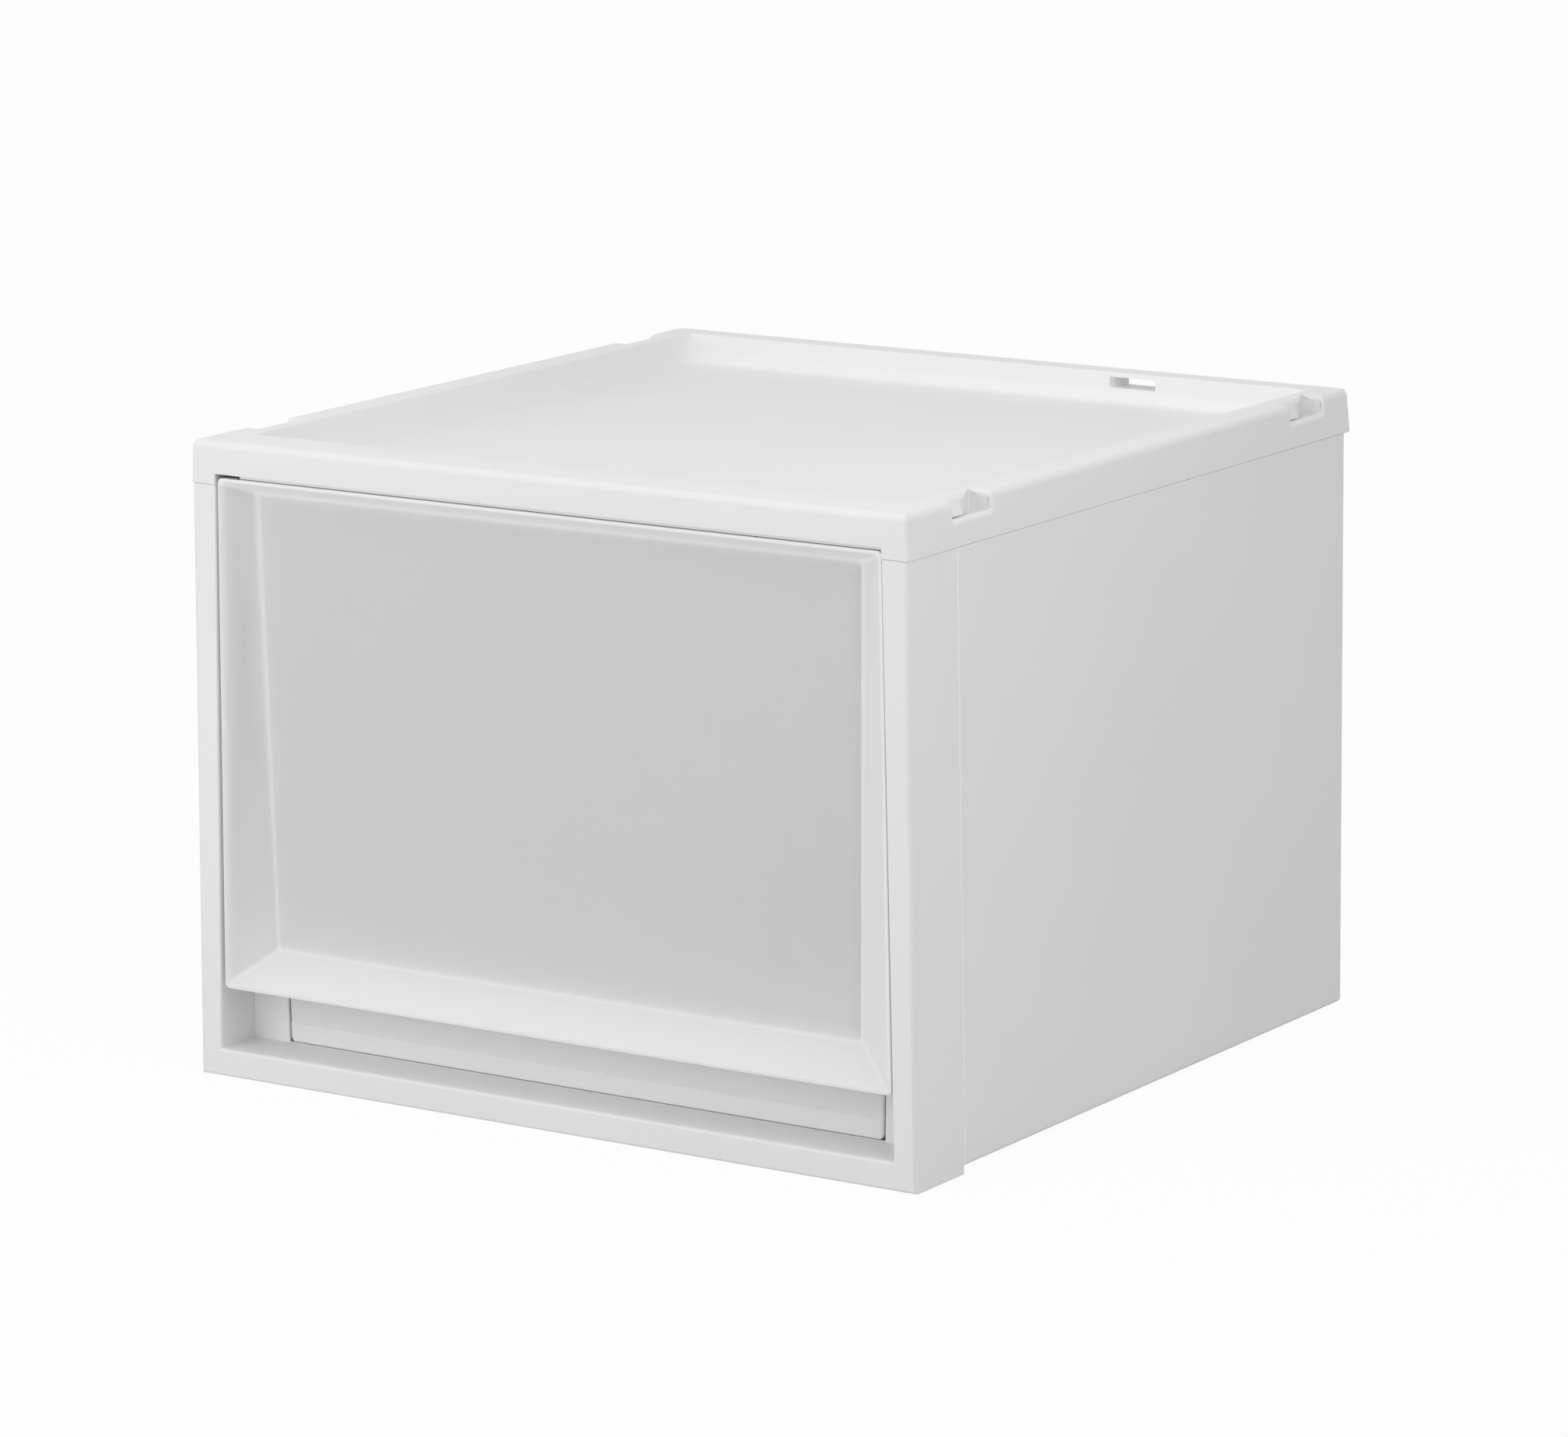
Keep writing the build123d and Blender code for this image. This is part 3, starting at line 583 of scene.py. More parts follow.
def drawer_front_pegs():
    """P = (x + r cos a, y, z + r sin a), with r given at each place y from the boss to the cap."""
    pegs = Moulding("drawer_front_pegs")
    turn = np.linspace(0.0, 2 * pi, 25)[:-1]
    for side in (-1, 1):
        for level in (dish_lip + 46.0, dish_top - 47.2):
            root = dish_flat(np.array([[0.0, level]]), dish_wall + 0.05)[0, 1]
            # Clear of the tub by a hair, so that the pegs do not shade it
            seat = tub_front(level + boss) - hair
            head = tub_front(level - cap) + dish_wall + hair
            steps = [(root, boss), (seat, boss), (seat, neck), (head, neck), (head, cap),
                     (head + 0.8, cap), (head + 1.2, cap_end)]
            pegs.rings([np.stack([side * peg_x + size * np.cos(turn), place + 0 * turn,
                                  level + size * np.sin(turn)], axis=1) for place, size in steps])
    pegs.finish("drawer", frosted_tub_painted_lighter)


drawer_front_pegs()
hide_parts("drawer_front")

# %% [markdown]
# The tub is a plain deep box with a thickened foot band in front and behind, and a thin bead round
# its mouth. One outline is carried up the outside, over the bead and down the inside, and it grows
# with the draft on the way, so no wall needs a thickness of its own.

# %% Drawer tub
def drawer_tub():
    """Each loop's inset is -h tan(1.2 degrees) at a height h, less what a band or a bead adds."""
    low, high = (np.array(corner) * 1000 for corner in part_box("drawer_box"))
    foot, top = low[2], high[2]
    wall, band, bead = 2.0, 9.0, 1.2

    def loop(level, out=0.0, radius=1.4):
        grow = (level - foot) * tub_lean
        corners = [(-tub_half, tub_front_y), (tub_half, tub_front_y), (tub_half, tub_back_y),
                   (-tub_half, tub_back_y)]
        outline = rounded_outline(corners, inset=-grow - np.asarray(out), radius=radius)
        return level_loop(outline, level)

    flush = np.array([-band_step, 0.0, -band_step, 0.0])
    foot_radius = by_side(1.4, 3.6, 1.4, 3.6)[:, None]
    rings = profile(
        (loop(foot, -8.0), 0),
        (loop(foot), foot_radius),
        (loop(foot + band), 0.8),
        (loop(foot + band + 0.6, flush), 0.8),
        (loop(top - 3.4, flush), 1.0),
        (loop(top - 2.8, flush + bead, 2.6), 0.5),
        (loop(top, flush + bead, 2.6), bead),
        (loop(top, flush - wall, 1.0), 0.3),
        (loop(foot + wall, flush - wall, 2.0), 2.0),
        (loop(foot + wall, -12.0, 1.0), 0),
    )
    # Painted light lifts the whole tub, whose wall sits in shade under the drawer's lip; the foot's
    # edge and the band, which are two rounded corners after the first ring, get painted highlights
    painted_light_amount = np.full((len(rings), 1), 0.4)
    painted_light_amount[1:1 + 2 * (BEND_STEPS + 1)] = 1.0
    tub = Moulding("drawer_tub")
    tub.rings(rings, painted_light_amount=painted_light_amount)

    # Stops beside the rear end, which meet the flanges when the drawer is fully out
    root, reach, stop_y, stop_length = tub_half + 4.0, high[0], 132.1, 14.0
    rim = top - 2.0
    for side in (-1, 1):
        section = [(side * root, rim - 14.0), (side * reach, rim - 7.0), (side * reach, rim),
                   (side * root, rim)]
        tub.rings([[(x, y, z) for x, z in section] for y in (stop_y, stop_y + stop_length)])
    piece = tub.finish("drawer", frosted_tub_painted_lighter)
    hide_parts("drawer_box")


drawer_tub()

# %% [markdown]
# The top panel is the hardest piece: a sunken tray, a flat rim, four notches for the catches of a
# box stacked on top, a slot through the back, and a skirt that ends lower at the sides than over
# the drawer. It is one shell: tray, rim, skirt and the hidden underside are rings round the same
# stations. Extra stations stand where something happens along an edge. A notch is a second
# profile, used between two pairs of stations that almost touch, so the faces between a pair become
# the notch's end walls. A boolean cut would do it too, but would leave sharp edges all round.

# %% Sizes of the top panel
panel_wall, skirt_lean, tray_lean = 2.4, lean(3.5), lean(1.5)
skirt_half = cad_half - seam * side_lean
tray_z, tray_half = box_top - 15.3, 174.24
tray_front, tray_back = box_front + 25.5, box_back - 13.8
rail_z, window = box_top - 15.1, window_half(seam)
slot_x, slot_low, slot_high = (66.95, 70.15, 92.25), box_top - 7.6, box_top - 2.4
lip_z, notch_z, lip_inner, pocket_x = box_top - 8.4, box_top - 11.6, 187.06, 179.14
plan_radii = np.array([1.5, 1.5, 5.0, 5.0])
almost, no_limit = 0.02, 999.0


def panel_half(level):
    """Half width of the panel at a height."""
    return skirt_half - (level - seam) * skirt_lean


def panel_back(level):
    """Back face of the panel at a height."""
    return box_back - (level - seam) * skirt_lean


print("the tray is", round(2 * tray_half, 1), "mm wide at its mouth")

# %% [markdown]
# All rings of the panel share one list of stations, so what happens along the sides is written down
# once: where each notch starts and ends, and where the rim sinks towards it. Places close together
# give a curve its smoothness, and a long plain stretch needs none.

# %% Stations along the panel's sides
def side_stations():
    """The places y of the stations from front to back, and four more rows that go with them.

    The rows are the same places for the thicker underside, whether a station is in a notch, how
    deep the rim sinks there, d (1 - sin a) over a quarter turn behind each notch, and the x that
    the pocket's slanting wall allows, which is a straight line in y.
    """
    depth, length, pocket = 2.0, 32.4, 17.0
    arc = np.linspace(0.0, pi / 2, 6)
    places, under, notch, sink, limit = [], [], [], [], []
    for start in (box_front + 36.8, box_back - 27.3 - length):
        end = start + length
        slanting = np.linspace(end - pocket, end - 1.0, 17)
        opening = np.concatenate([[start, end - pocket - 1.0], slanting, [end]])
        behind = end + depth * (1 - np.cos(arc))
        places += [start - almost, *opening, *behind]
        under += [start - almost - panel_wall, start - panel_wall, *opening[1:-1],
                  end + panel_wall, *(behind + panel_wall)]
        notch += [0] + [1] * len(opening) + [0] * len(arc)
        sink += [0] * (1 + len(opening)) + list(depth * (1 - np.sin(arc)))
        share = np.clip((end - 1.0 - opening) / pocket, 0, 1)
        limit += [no_limit, *(pocket_x + (lip_inner - pocket_x) * share), *[no_limit] * len(arc)]
    return [np.array(row) for row in (places, under, notch, sink, limit)]


side_y, under_y, notched, sunk, wall_x = side_stations()
front_count, side_count, back_count = 4, len(side_y), 5
print(side_count, "stations on each side")

# %% Rings round the panel
def panel_ring(half, y_low, y_high, level, radius=1.0, runs=None, along=side_y):
    """One ring: corner, front run, corner, right run, corner, back run, corner and left run.

    runs may give the front or back run other heights, or change the x and z of the sides.
    """
    corners = [(-half, y_low), (half, y_low), (half, y_high), (-half, y_high)]
    arcs = rounded_outline(corners, radius=radius).reshape(4, -1, 2)
    arcs = [level_loop(part, level) for part in arcs]
    reach = min(window, half - np.broadcast_to(radius, 4)[0] - 2 * almost)
    front_x = [-reach - almost, -reach + almost, reach - almost, reach + almost]
    back_x = [slot_x[2] + 1.0, slot_x[2], slot_x[1], slot_x[0], slot_x[0] - 1.0]

    def straight(x, y, count):
        return np.column_stack([np.broadcast_to(x, count), np.broadcast_to(y, count),
                                np.full(count, float(level))])

    front_run = straight(front_x, y_low, front_count)
    back_run = straight(back_x, y_high, back_count)
    right_side = straight(half, along, side_count)
    if runs:
        front_run[:, 2] = runs.get("front", front_run[:, 2])
        back_run[:, 2] = runs.get("back", back_run[:, 2])
        if "side" in runs:
            right_side[:, 0], right_side[:, 2] = runs["side"](right_side[:, 0], right_side[:, 2])
    left_side = right_side[::-1] * (-1, 1, 1)
    return np.concatenate([arcs[0], front_run, arcs[1], right_side, arcs[2], back_run, arcs[3],
                           left_side])


right_start = 2 * (STEPS + 1) + front_count
right_run = slice(right_start, right_start + side_count)
back_start = right_run.stop + STEPS + 1
ring_length = back_start + back_count + STEPS + 1 + side_count
left_run = slice(ring_length - side_count, ring_length)
print(ring_length, "stations in a ring")

# %% [markdown]
# A notch is worked out once, in the section across the rim: the rim rolls over into a ramp, then
# comes a slit, the floor of a groove, and the lip on the outside. In the rear part of the notch a
# slanting wall cuts that ramp off, which leaves the three-sided pocket for the catch.

# %% Section of a notch
def rounded_section(points, radius, steps):
    """The x and z of the arc that rounds the middle one of three points."""
    return bend(*(np.array([[x, 0.0, z]]) for x, z in points), radius, steps=steps)[:, 0, [0, 2]]


ramp_z = lip_z + 0.6
roll = rounded_section([(170.0, box_top), (183.1, box_top), (lip_inner, ramp_z)], 4.0, 8)
groove = [(lip_inner, ramp_z), (182.9, ramp_z), (182.9, notch_z)]
lip_wall = [(lip_inner, notch_z), (lip_inner, lip_z)]
cheek = np.array([*roll, *groove, *lip_wall])
lip_edge = rounded_section([(lip_inner, lip_z), (panel_half(lip_z), lip_z), (skirt_half, seam)],
                           2.2, 6)
print("points in the notch's section:", len(cheek) + len(lip_edge))

# %% [markdown]
# The tray's floor and walls come first, from the middle outwards. They meet in a fillet, as plastic
# does not fill a sharp corner well, and the rings beside the slot stand at its own two heights.

# %% Tray
def tray_ring(level, inset=0.0):
    """A ring on the tray's walls, which lean in by 1.5 degrees, or further in on its floor."""
    give = (box_top - level) * tray_lean + inset
    return panel_ring(tray_half - give, tray_front + give, tray_back - give, level)


def tray_floor_rings():
    """The floor and the fillet of 6 mm at the foot of the walls."""
    inner, foot = tray_ring(tray_z, 10.0), tray_ring(tray_z)
    return [inner, *bend(inner, foot, tray_ring(slot_low), 6.0)]


def tray_wall_rings():
    """The walls, with a ring at either height of the slot, and their rounded top edge."""
    low, high, mouth = tray_ring(slot_low), tray_ring(slot_high), tray_ring(box_top)
    out = 4.0
    rim = panel_ring(tray_half + out, tray_front - out, tray_back + out, box_top, 3.0)
    return [low, high, *bend(high, mouth, rim, 0.9)]


print("the tray has", len(tray_floor_rings()) + len(tray_wall_rings()), "rings")

# %% [markdown]
# The rim is flat, so two rings would do for it, but the notches need one for each point of their
# section. Outside them all, the rings of the edge roll over into the skirt.

# %% Rim and its outer edge
def rim_rings():
    """Rings from the tray's mouth outwards, one for each point of a notch's section.

    Ring k lies the share s = 0.35 + 0.625 k / (n - 1) of the way across the rim. In a notch it
    follows point k of the section instead, and in the pocket the slanting wall.
    """
    start, end = 0.35, 0.975
    out_x, out_front, out_back = 187.2, 21.0, panel_back(box_top) - 1.5
    rings = []
    for k, (x, z) in enumerate(cheek):
        share = start + (end - start) * k / (len(cheek) - 1)
        ease = np.clip((share - start) / 0.2, 0, 1)
        on_lip = k >= len(roll) + len(groove)

        def follow(across, level, x=x, z=z, ease=ease, on_lip=on_lip):
            cut = np.full(side_count, x) if on_lip else np.minimum(x, wall_x)
            return np.where(notched, cut, across), np.where(notched, z, level - ease * sunk)

        rings.append(panel_ring(
            tray_half + 1.0 + share * (out_x - tray_half - 1.0),
            tray_front - 1.0 - share * out_front,
            tray_back + 1.0 + share * (out_back - tray_back - 1.0),
            box_top, 1.0 + share * (plan_radii - 1.0), {"side": follow}))
    return rings


def edge_rings():
    """The rounded outer edge, of radius 3.4, or 1.4 at the back. Within a notch it is the lip."""
    half, back, steps = panel_half(box_top), panel_back(box_top), 6
    shoulder = panel_ring(half - 6.0, box_front + 6.0, back - 6.0, box_top, plan_radii - 0.5)
    crest = panel_ring(half, box_front, back, box_top, plan_radii)
    skirt = panel_ring(panel_half(seam), box_front, box_back, seam, plan_radii)
    radius = np.where(crest[:, 1:2] > back - 1.0, 1.4, 3.4)
    rings = bend(shoulder, crest, skirt, radius, steps=steps)
    inner = lip_inner + 0.3
    for ring, share in zip(rings, np.linspace(0.0, 1.0, steps + 1)):
        flat_x = inner + share * (lip_edge[0, 0] - inner)
        for run, sign in ((right_run, 1), (left_run, -1)):
            flags, drop = notched[::sign], sunk[::sign]
            ring[run, 0] = np.where(flags, sign * flat_x, ring[run, 0] - sign * drop * share)
            ring[run, 2] = np.where(flags, lip_z, ring[run, 2] - drop * (1 - share))
    return list(rings)


print("the rim has", len(rim_rings()) + len(edge_rings()), "rings")

# %% [markdown]
# The skirt goes down to a thin foot, turns inside there and comes back up as the hidden underside,
# so that the panel is a thin wall all over and not a solid block.

# %% Skirt and underside
def skirt_ring(side_level, lip_point, back_level, drop):
    """A ring down the skirt: one height on the sides, another at the back, the lip in a notch."""
    def place(across, level):
        return (np.where(notched, lip_point[0], panel_half(side_level) - drop),
                np.where(notched, lip_point[1], side_level))
    return panel_ring(panel_half(side_level), box_front, panel_back(back_level), side_level,
                      plan_radii, {"side": place, "back": np.full(back_count, back_level)})


def skirt_rings():
    """The skirt's outside, down to its foot, which is higher over the drawer than at the sides."""
    rings = [skirt_ring(lip_z + 0.1, lip_edge[0], slot_high, sunk)]
    for k, point in enumerate(lip_edge[1:]):
        rings.append(skirt_ring(point[1], point, slot_low - 0.3 * k, 0.0))
    feet = {"front": np.array([seam, rail_z, rail_z, seam])}
    wall, half = panel_wall, panel_half(seam)
    foot = panel_ring(half, box_front, box_back, seam, plan_radii, feet)
    inside = panel_ring(half - wall, box_front + wall, box_back - wall, seam, plan_radii - 1.0,
                        feet)
    return [*rings, *bend(rings[-1], foot, inside, 0.3, steps=2), inside]


def underside_rings():
    """The hidden inside, a wall's thickness behind the outside. It sinks below notches and slot."""
    wall, roof = panel_wall, box_top - panel_wall
    sides = np.where(notched, notch_z - wall, roof)
    runs = {"side": lambda across, level: (across, sides),
            "back": np.full(back_count, slot_low - wall)}
    out, low_out = wall, wall - 0.4
    return [
        panel_ring(panel_half(box_top) - wall, box_front + wall, panel_back(box_top) - wall, roof,
                   plan_radii - 1.0, runs, under_y),
        panel_ring(tray_half + out, tray_front - out, tray_back + out, roof, 3.0, runs, under_y),
        panel_ring(tray_half + low_out, tray_front - low_out, tray_back + low_out, tray_z - wall,
                   3.0),
    ]


print("the underside has", len(underside_rings()), "rings")

# %% [markdown]
# With all rings in hand the panel is one grid of faces. The slot is a window in that grid: the
# faces at both ends are left out, and six new ones line the way through. The tray's walls get
# painted light, so they come out paler than its floor, apart from the left one, which gets little
# and hardly differs from it.

# %% Top panel
def line_the_slot(panel, index, tray_low, skirt_top, first):
    """Faces between the slot's two ends. Its outer end is narrower, so one of its walls slants."""
    a, b, c = first, first + 1, first + 2
    low_in, high_in = index[tray_low], index[tray_low + 1]
    high_out, low_out = index[skirt_top], index[skirt_top + 1]
    loops = (
        (high_in[a], high_in[b], high_out[b], high_out[a]), (high_in[b], high_in[c], high_out[b]),
        (low_in[a], low_in[b], low_out[b], low_out[a]), (low_in[b], low_in[c], low_out[b]),
        (low_in[a], high_in[a], high_out[a], low_out[a]),
        (low_in[c], high_in[c], high_out[b], low_out[b]),
    )
    panel.faces += [[int(corner) for corner in loop] for loop in loops]


def top_panel():
    """All rings from the middle of the tray to the middle of the underside, and the ribs."""
    rings = tray_floor_rings()
    tray_low = len(rings)
    rings += tray_wall_rings() + rim_rings() + edge_rings()
    skirt_top = len(rings)
    rings += skirt_rings() + underside_rings()

    slot_first = back_start + 1
    keep = np.ones((len(rings) - 1, ring_length), bool)
    keep[tray_low, slot_first:slot_first + 2] = False
    keep[skirt_top, slot_first] = False
    # Painted light on the tray's walls, little on the left one
    painted_light_amount = np.zeros((len(rings), ring_length))
    tray_walls = slice(tray_low - 3, tray_low + 4)
    painted_light_amount[tray_walls] = 0.8
    painted_light_amount[tray_walls, left_run] = 0.1
    panel = Moulding("top_panel_shell")
    index = panel.rings(rings, keep, painted_light_amount)
    line_the_slot(panel, index, tray_low, skirt_top, slot_first)

    # A rib behind the rail's lower edge closes most of the gap over the drawer
    panel.box((-window + 13.0, box_front + 1.9, rail_z - 1.3),
              (window - 0.3, box_front + 3.1, rail_z + 1.0))

    # Inner walls of the legs, and ribs under the tray
    for side in (-1, 1):
        x = sorted((side * window, side * (window + panel_wall)))
        panel.box((x[0], box_front + 1.2, seam), (x[1], box_front + 23.0, box_top - 1.2))
    low, high, half, thick = tray_front, tray_back - 2.0, tray_half - 3.0, 0.8
    floor_z, rib_z = tray_z - panel_wall / 2, tray_z - panel_wall - 3.5
    for share in (0.25, 0.5, 0.75):
        x, y = half * (2 * share - 1), low + share * (high - low)
        panel.box((x - thick, low, rib_z), (x + thick, high, floor_z))
        panel.box((-half, y - thick, rib_z), (half, y + thick, floor_z))
    piece = panel.finish("case", white)
    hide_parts("top_panel")


top_panel()

# %% [markdown]
# The front frame is a U of two posts and a rail, hollow behind. Its section keeps its shape all the
# way, but the posts grow wider towards the top, so it is carried between two outlines and not along
# one path: each point of the section is a share of the way from the outer outline to the inner one.
# Behind the posts stand thin flanges, which close the sides of the opening.

# %% Front frame
def front_frame():
    """P = O + s (I - O), where O and I are the outer and the inner outline of the U."""
    frame_top, wall, edge, opening = box_top - 20.1, 2.4, 2.2, 2.0
    outer = [(-frame_half(frame_top), frame_top), (-frame_half(0), 0.0), (frame_half(0), 0.0),
             (frame_half(frame_top), frame_top)]
    inner = [(-window_half(frame_top), frame_top), (-window_half(rail_top), rail_top),
             (window_half(rail_top), rail_top), (window_half(frame_top), frame_top)]
    outer, inner = np.array(outer), np.array(inner)
    share = wall / rail_top

    def at(part, behind):
        place = outer + part * (inner - outer)
        return np.stack([place[:, 0], np.full(4, box_front + behind), place[:, 1]], axis=1)

    section = profile(
        (at(0.0, frame_depth), 0),
        (at(0.0, 0.0), edge),
        (at(1.0, 0.0), np.array([[0.8], [opening], [opening], [0.8]])),
        (at(1.0, frame_depth), 0.4),
        (at(1.0 - share, frame_depth), 0.4),
        (at(1.0 - share, wall), 0.5),
        (at(share, wall), 0.5),
        (at(share, frame_depth), 0),
    )
    moulding = Moulding("front_frame_moulding")
    moulding.rings(section.transpose(1, 0, 2))

    # A low ridge along the rail closes most of the gap under the drawer's foot
    ridge = window_half(rail_top) - 3.0
    moulding.box((-ridge, box_front + 25.6, rail_top - 1.0),
                 (ridge, box_front + 27.2, rail_top + 0.3))

    # Flanges behind the posts, with a round inner edge
    near, far = box_front + 25.5, box_front + 27.7
    for side in (-1, 1):
        loops = []
        for level in (rail_top - 1.0, frame_top - 0.1):
            throat, root = throat_half(level), window_half(level) + 1.0
            corners = [(throat, near), (root, near), (root, far), (throat, far)]
            outline = rounded_outline(corners, radius=0.6, steps=4) * (side, 1)
            loops.append(level_loop(outline, level))
        # The flanges get full painted light, which lifts them out of the shade under the drawer's lip
        moulding.rings(loops, painted_light_amount=1.0)
    piece = moulding.finish("case", white)
    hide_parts("front_frame")


front_frame()

# %% [markdown]
# The case body is a U in plan, open to the front. Each level is one outline with a radius at each
# corner, negative where the corner is hollow. The sides lean in and the back leans out, as the
# drafts of the mould ask. Its front edge gets a painted highlight, a thin bright line.

# %% Walls of the case body
case_front, case_back, case_wall, case_lift = box_front + frame_depth, 188.25, 2.2, 3.5
back_lean, panel_gap = lean(0.8), 0.12


def case_half(level):
    """Half width of the case at a height."""
    return cad_half - level * side_lean


def case_rear(level):
    """Back face of the case at a height."""
    return case_back - (seam - level) * back_lean


def u_plan(outer, inner, rear, rear_inner):
    """Corners of a U in plan, open to the front, anticlockwise from the front of its left arm."""
    return [(-outer, case_front), (-inner, case_front), (-inner, rear_inner), (inner, rear_inner),
            (inner, case_front), (outer, case_front), (outer, rear), (-outer, rear)]


def case_loop(level, inset=0.0):
    """One level of the U: its outer sides and back are moved in, its inner ones stay."""
    rear = case_rear(level)
    corners = u_plan(case_half(level) - inset, case_half(level) - case_wall, rear - inset,
                     rear - case_wall)
    return level_loop(rounded_outline(corners, radius=[1.2, 0.3, -1.2, -1.2, 0.3, 1.2, 2.0, 2.0]),
                      level)


def case_collar(level):
    """The thin wall that stands up inside the panel's skirt."""
    rear = case_back - case_wall - 0.6
    corners = u_plan(case_half(level) - 2.75, case_half(level) - 4.4, rear, rear - 1.6)
    return [(x, y, level) for x, y in corners]


print("the case is", round(2 * case_half(case_lift), 1), "mm wide at its foot")

# %% [markdown]
# Inside, the drawer slides on two runners and between two guides, plain bars that nobody sees when
# it is shut. The case stands on two feet at the back, and on the frame in front.

# %% Runners, guides and feet of the case
runner_x = 138.0


def add_bars(body, side, floor_z, rear):
    """Runner and guide: a section in x and z, given at the front and at the rear."""
    ends = (case_front + 0.2, rear - 0.3)
    low, high, tall = floor_z - 0.5, 13.4, 49.6
    runner = [(-2.0, low), (2.0, low), (1.7, high), (-1.7, high)]
    body.rings([[(side * runner_x + x, y, z) for x, z in runner] for y in ends])
    guide = [(throat_half(low), low), (throat_half(low) + case_wall, low),
             (throat_half(tall) + case_wall, tall), (throat_half(tall), tall)]
    body.rings([[(side * x, y, z) for x, z in guide] for y in ends])


def add_foot(body, side):
    """An open ring with round corners: two loops outside, going down, and two inside, going up."""
    outside, inside = (15, 9, 5.0), (12.5, 6.5, 2.5)
    centre = (side * (case_half(case_lift) - 45.0), case_rear(case_lift) - 39.0)
    loops = []
    for (reach_x, reach_y, radius), level in ((outside, case_lift + 1.0), (outside, 0.0),
                                              (inside, 0.0), (inside, case_lift + 0.9)):
        corners = trapezoid(reach_x, reach_x, -reach_y, reach_y)
        loops.append(level_loop(rounded_outline(corners, radius=radius) + centre, level))
    body.rings(loops)


print("the runners stand", 2 * runner_x, "mm apart")

# %% Case body
def case_body():
    """Walls, collar, floor and what carries the drawer, as closed shapes that run together."""
    body = Moulding("case_body_shell")
    # A painted highlight on the outer corners at the front of both arms
    painted_highlight = np.array([1.0, 1.0, 1.0, 1.0, 0.7, 0.3, 0.0])
    none = np.zeros(STEPS + 1)
    top = seam - panel_gap
    body.rings(profile(
        (case_loop(case_lift, 2.1), 0),
        (case_loop(case_lift), 1.9),
        (case_loop(top), 0.4),
        (case_loop(top, 2.0), 0),
    ), painted_light_amount=np.concatenate([painted_highlight[::-1], none, none, none, none, painted_highlight, none, none]))
    body.rings([case_collar(seam - 10.0), case_collar(seam + 3.9)])

    floor_z = case_lift + case_wall
    inner = case_half(case_lift) - case_wall + 0.4
    rear = case_rear(case_lift) - case_wall + 0.4
    body.box((-inner, case_front + 0.5, case_lift + 0.03), (inner, rear, floor_z))

    # A tongue under the frame's rail joins the two, and a sill carries it
    tongue, sill_back = 178.0, case_front + 2.2
    body.box((-tongue, case_front - 11.9, 8.3), (tongue, sill_back, 10.4))
    body.box((-tongue, case_front, case_lift + 0.05), (tongue, sill_back, 10.3))
    for side in (-1, 1):
        add_bars(body, side, floor_z, rear)
        add_foot(body, side)
    piece = body.finish("case", white)
    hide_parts("case_body")


case_body()

# %% [markdown]
# The setting is a white studio. The floor is a large pale sheet of paper, on which the box stands
# and leaves a very faint shadow. Rays from the camera, and rays that a mirror or glass sends on,
# see plain white instead of the lit paper and the dimmer world, so no extra light is needed to
# whiten the picture, and the box itself is lit at a plain level.

# %% Floor and world
def sees_white(net):
    """1 for a ray from the camera, a mirror or glass, and 0 for the light that falls on the box."""
    kinds = ("Is Camera Ray", "Is Glossy Ray", "Is Transmission Ray")
    seen, mirrored, passed = (net.node("ShaderNodeLightPath", output=kind) for kind in kinds)
    return net.node("ShaderNodeMath", {"operation": "MINIMUM"},
                    {0: seen + mirrored + passed, 1: 1.0})


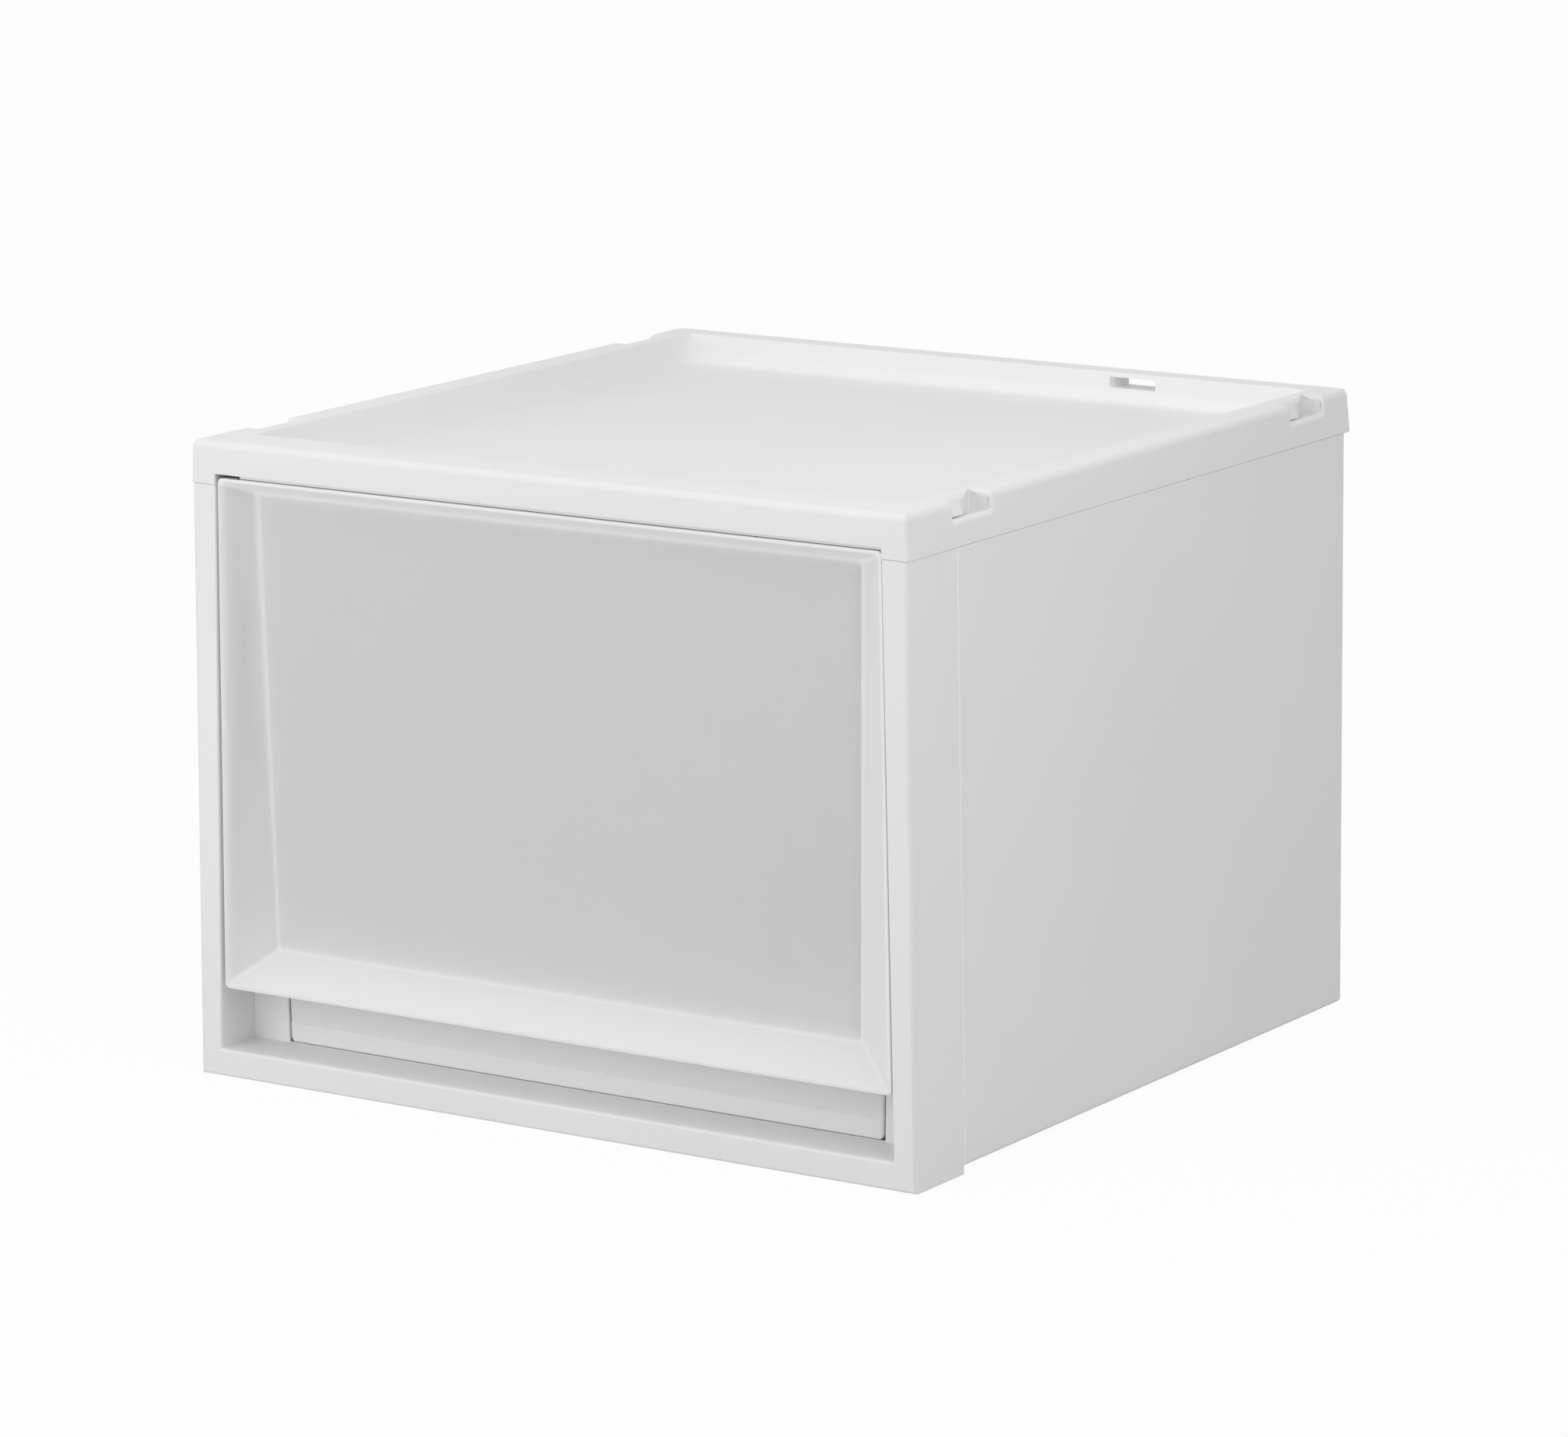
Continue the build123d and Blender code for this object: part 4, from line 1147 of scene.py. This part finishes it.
def studio_floor():
    half, glow_share = 6.0, 0.96
    corners = [(x, y, 0.0) for x, y in trapezoid(half, half, -half, half)]
    mesh = bpy.data.meshes.new("floor")
    mesh.from_pydata(corners, [], [(0, 1, 2, 3)])
    floor = bpy.data.objects.new("floor", mesh)
    bpy.context.scene.collection.objects.link(floor)
    material = bpy.data.materials.new("floor_paper")
    net = Network(material)
    paper = net.node("ShaderNodeBsdfDiffuse", {}, {"Color": grey(0.7)})
    glow = net.node("ShaderNodeEmission", {}, {"Color": grey(1.0), "Strength": 1.0})
    sheet = net.node("ShaderNodeMixShader", {},
                     {0: glow_share * sees_white(net), 1: paper, 2: glow})
    net.node("ShaderNodeOutputMaterial", {}, {"Surface": sheet})
    mesh.materials.append(material)
    print(floor.name, "is", 2 * half, "m wide")


def studio_world():
    world = bpy.data.worlds.new("studio")
    bpy.context.scene.world = world
    net = Network(world)
    seen = net.node("ShaderNodeBackground", {}, {"Color": grey(1.0), "Strength": 1.0})
    light = net.node("ShaderNodeBackground", {}, {"Color": grey(1.0), "Strength": 0.55})
    mixed = net.node("ShaderNodeMixShader", {}, {0: sees_white(net), 1: light, 2: seen})
    net.node("ShaderNodeOutputWorld", {}, {"Surface": mixed})
    print("world", world.name, "has", len(world.node_tree.nodes), "nodes")


studio_floor()
studio_world()

# %% [markdown]
# Three square soft boxes shape the box. The low one in front is the strongest and lights the
# drawer's front, the high one lifts the tray and the rim, and the one on the right keeps the side
# from going dark. They are large and near, so that the shading runs softly across the flats.

# %% Lights
def soft_box(name, place, size, watts, aim=(0.0, 0.0, 0.15)):
    """A square area lamp that faces a point, the box's middle."""
    lamp = bpy.data.lights.new(name, "AREA")
    lamp.shape = "SQUARE"
    lamp.size = size
    lamp.energy = watts
    holder = bpy.data.objects.new(name, lamp)
    holder.location = place
    direction = Vector(aim) - Vector(place)
    holder.rotation_euler = direction.to_track_quat("-Z", "Y").to_euler()
    bpy.context.scene.collection.objects.link(holder)
    print(name, "at", place, "size", size, "power", watts)


soft_box("low_light", (-0.469, -1.054, 0.481), 0.8, 2.85)
soft_box("high_light", (-0.262, -0.22, 1.09), 0.7, 0.95)
soft_box("side_light", (0.635, -0.397, 0.735), 0.7, 1.6)
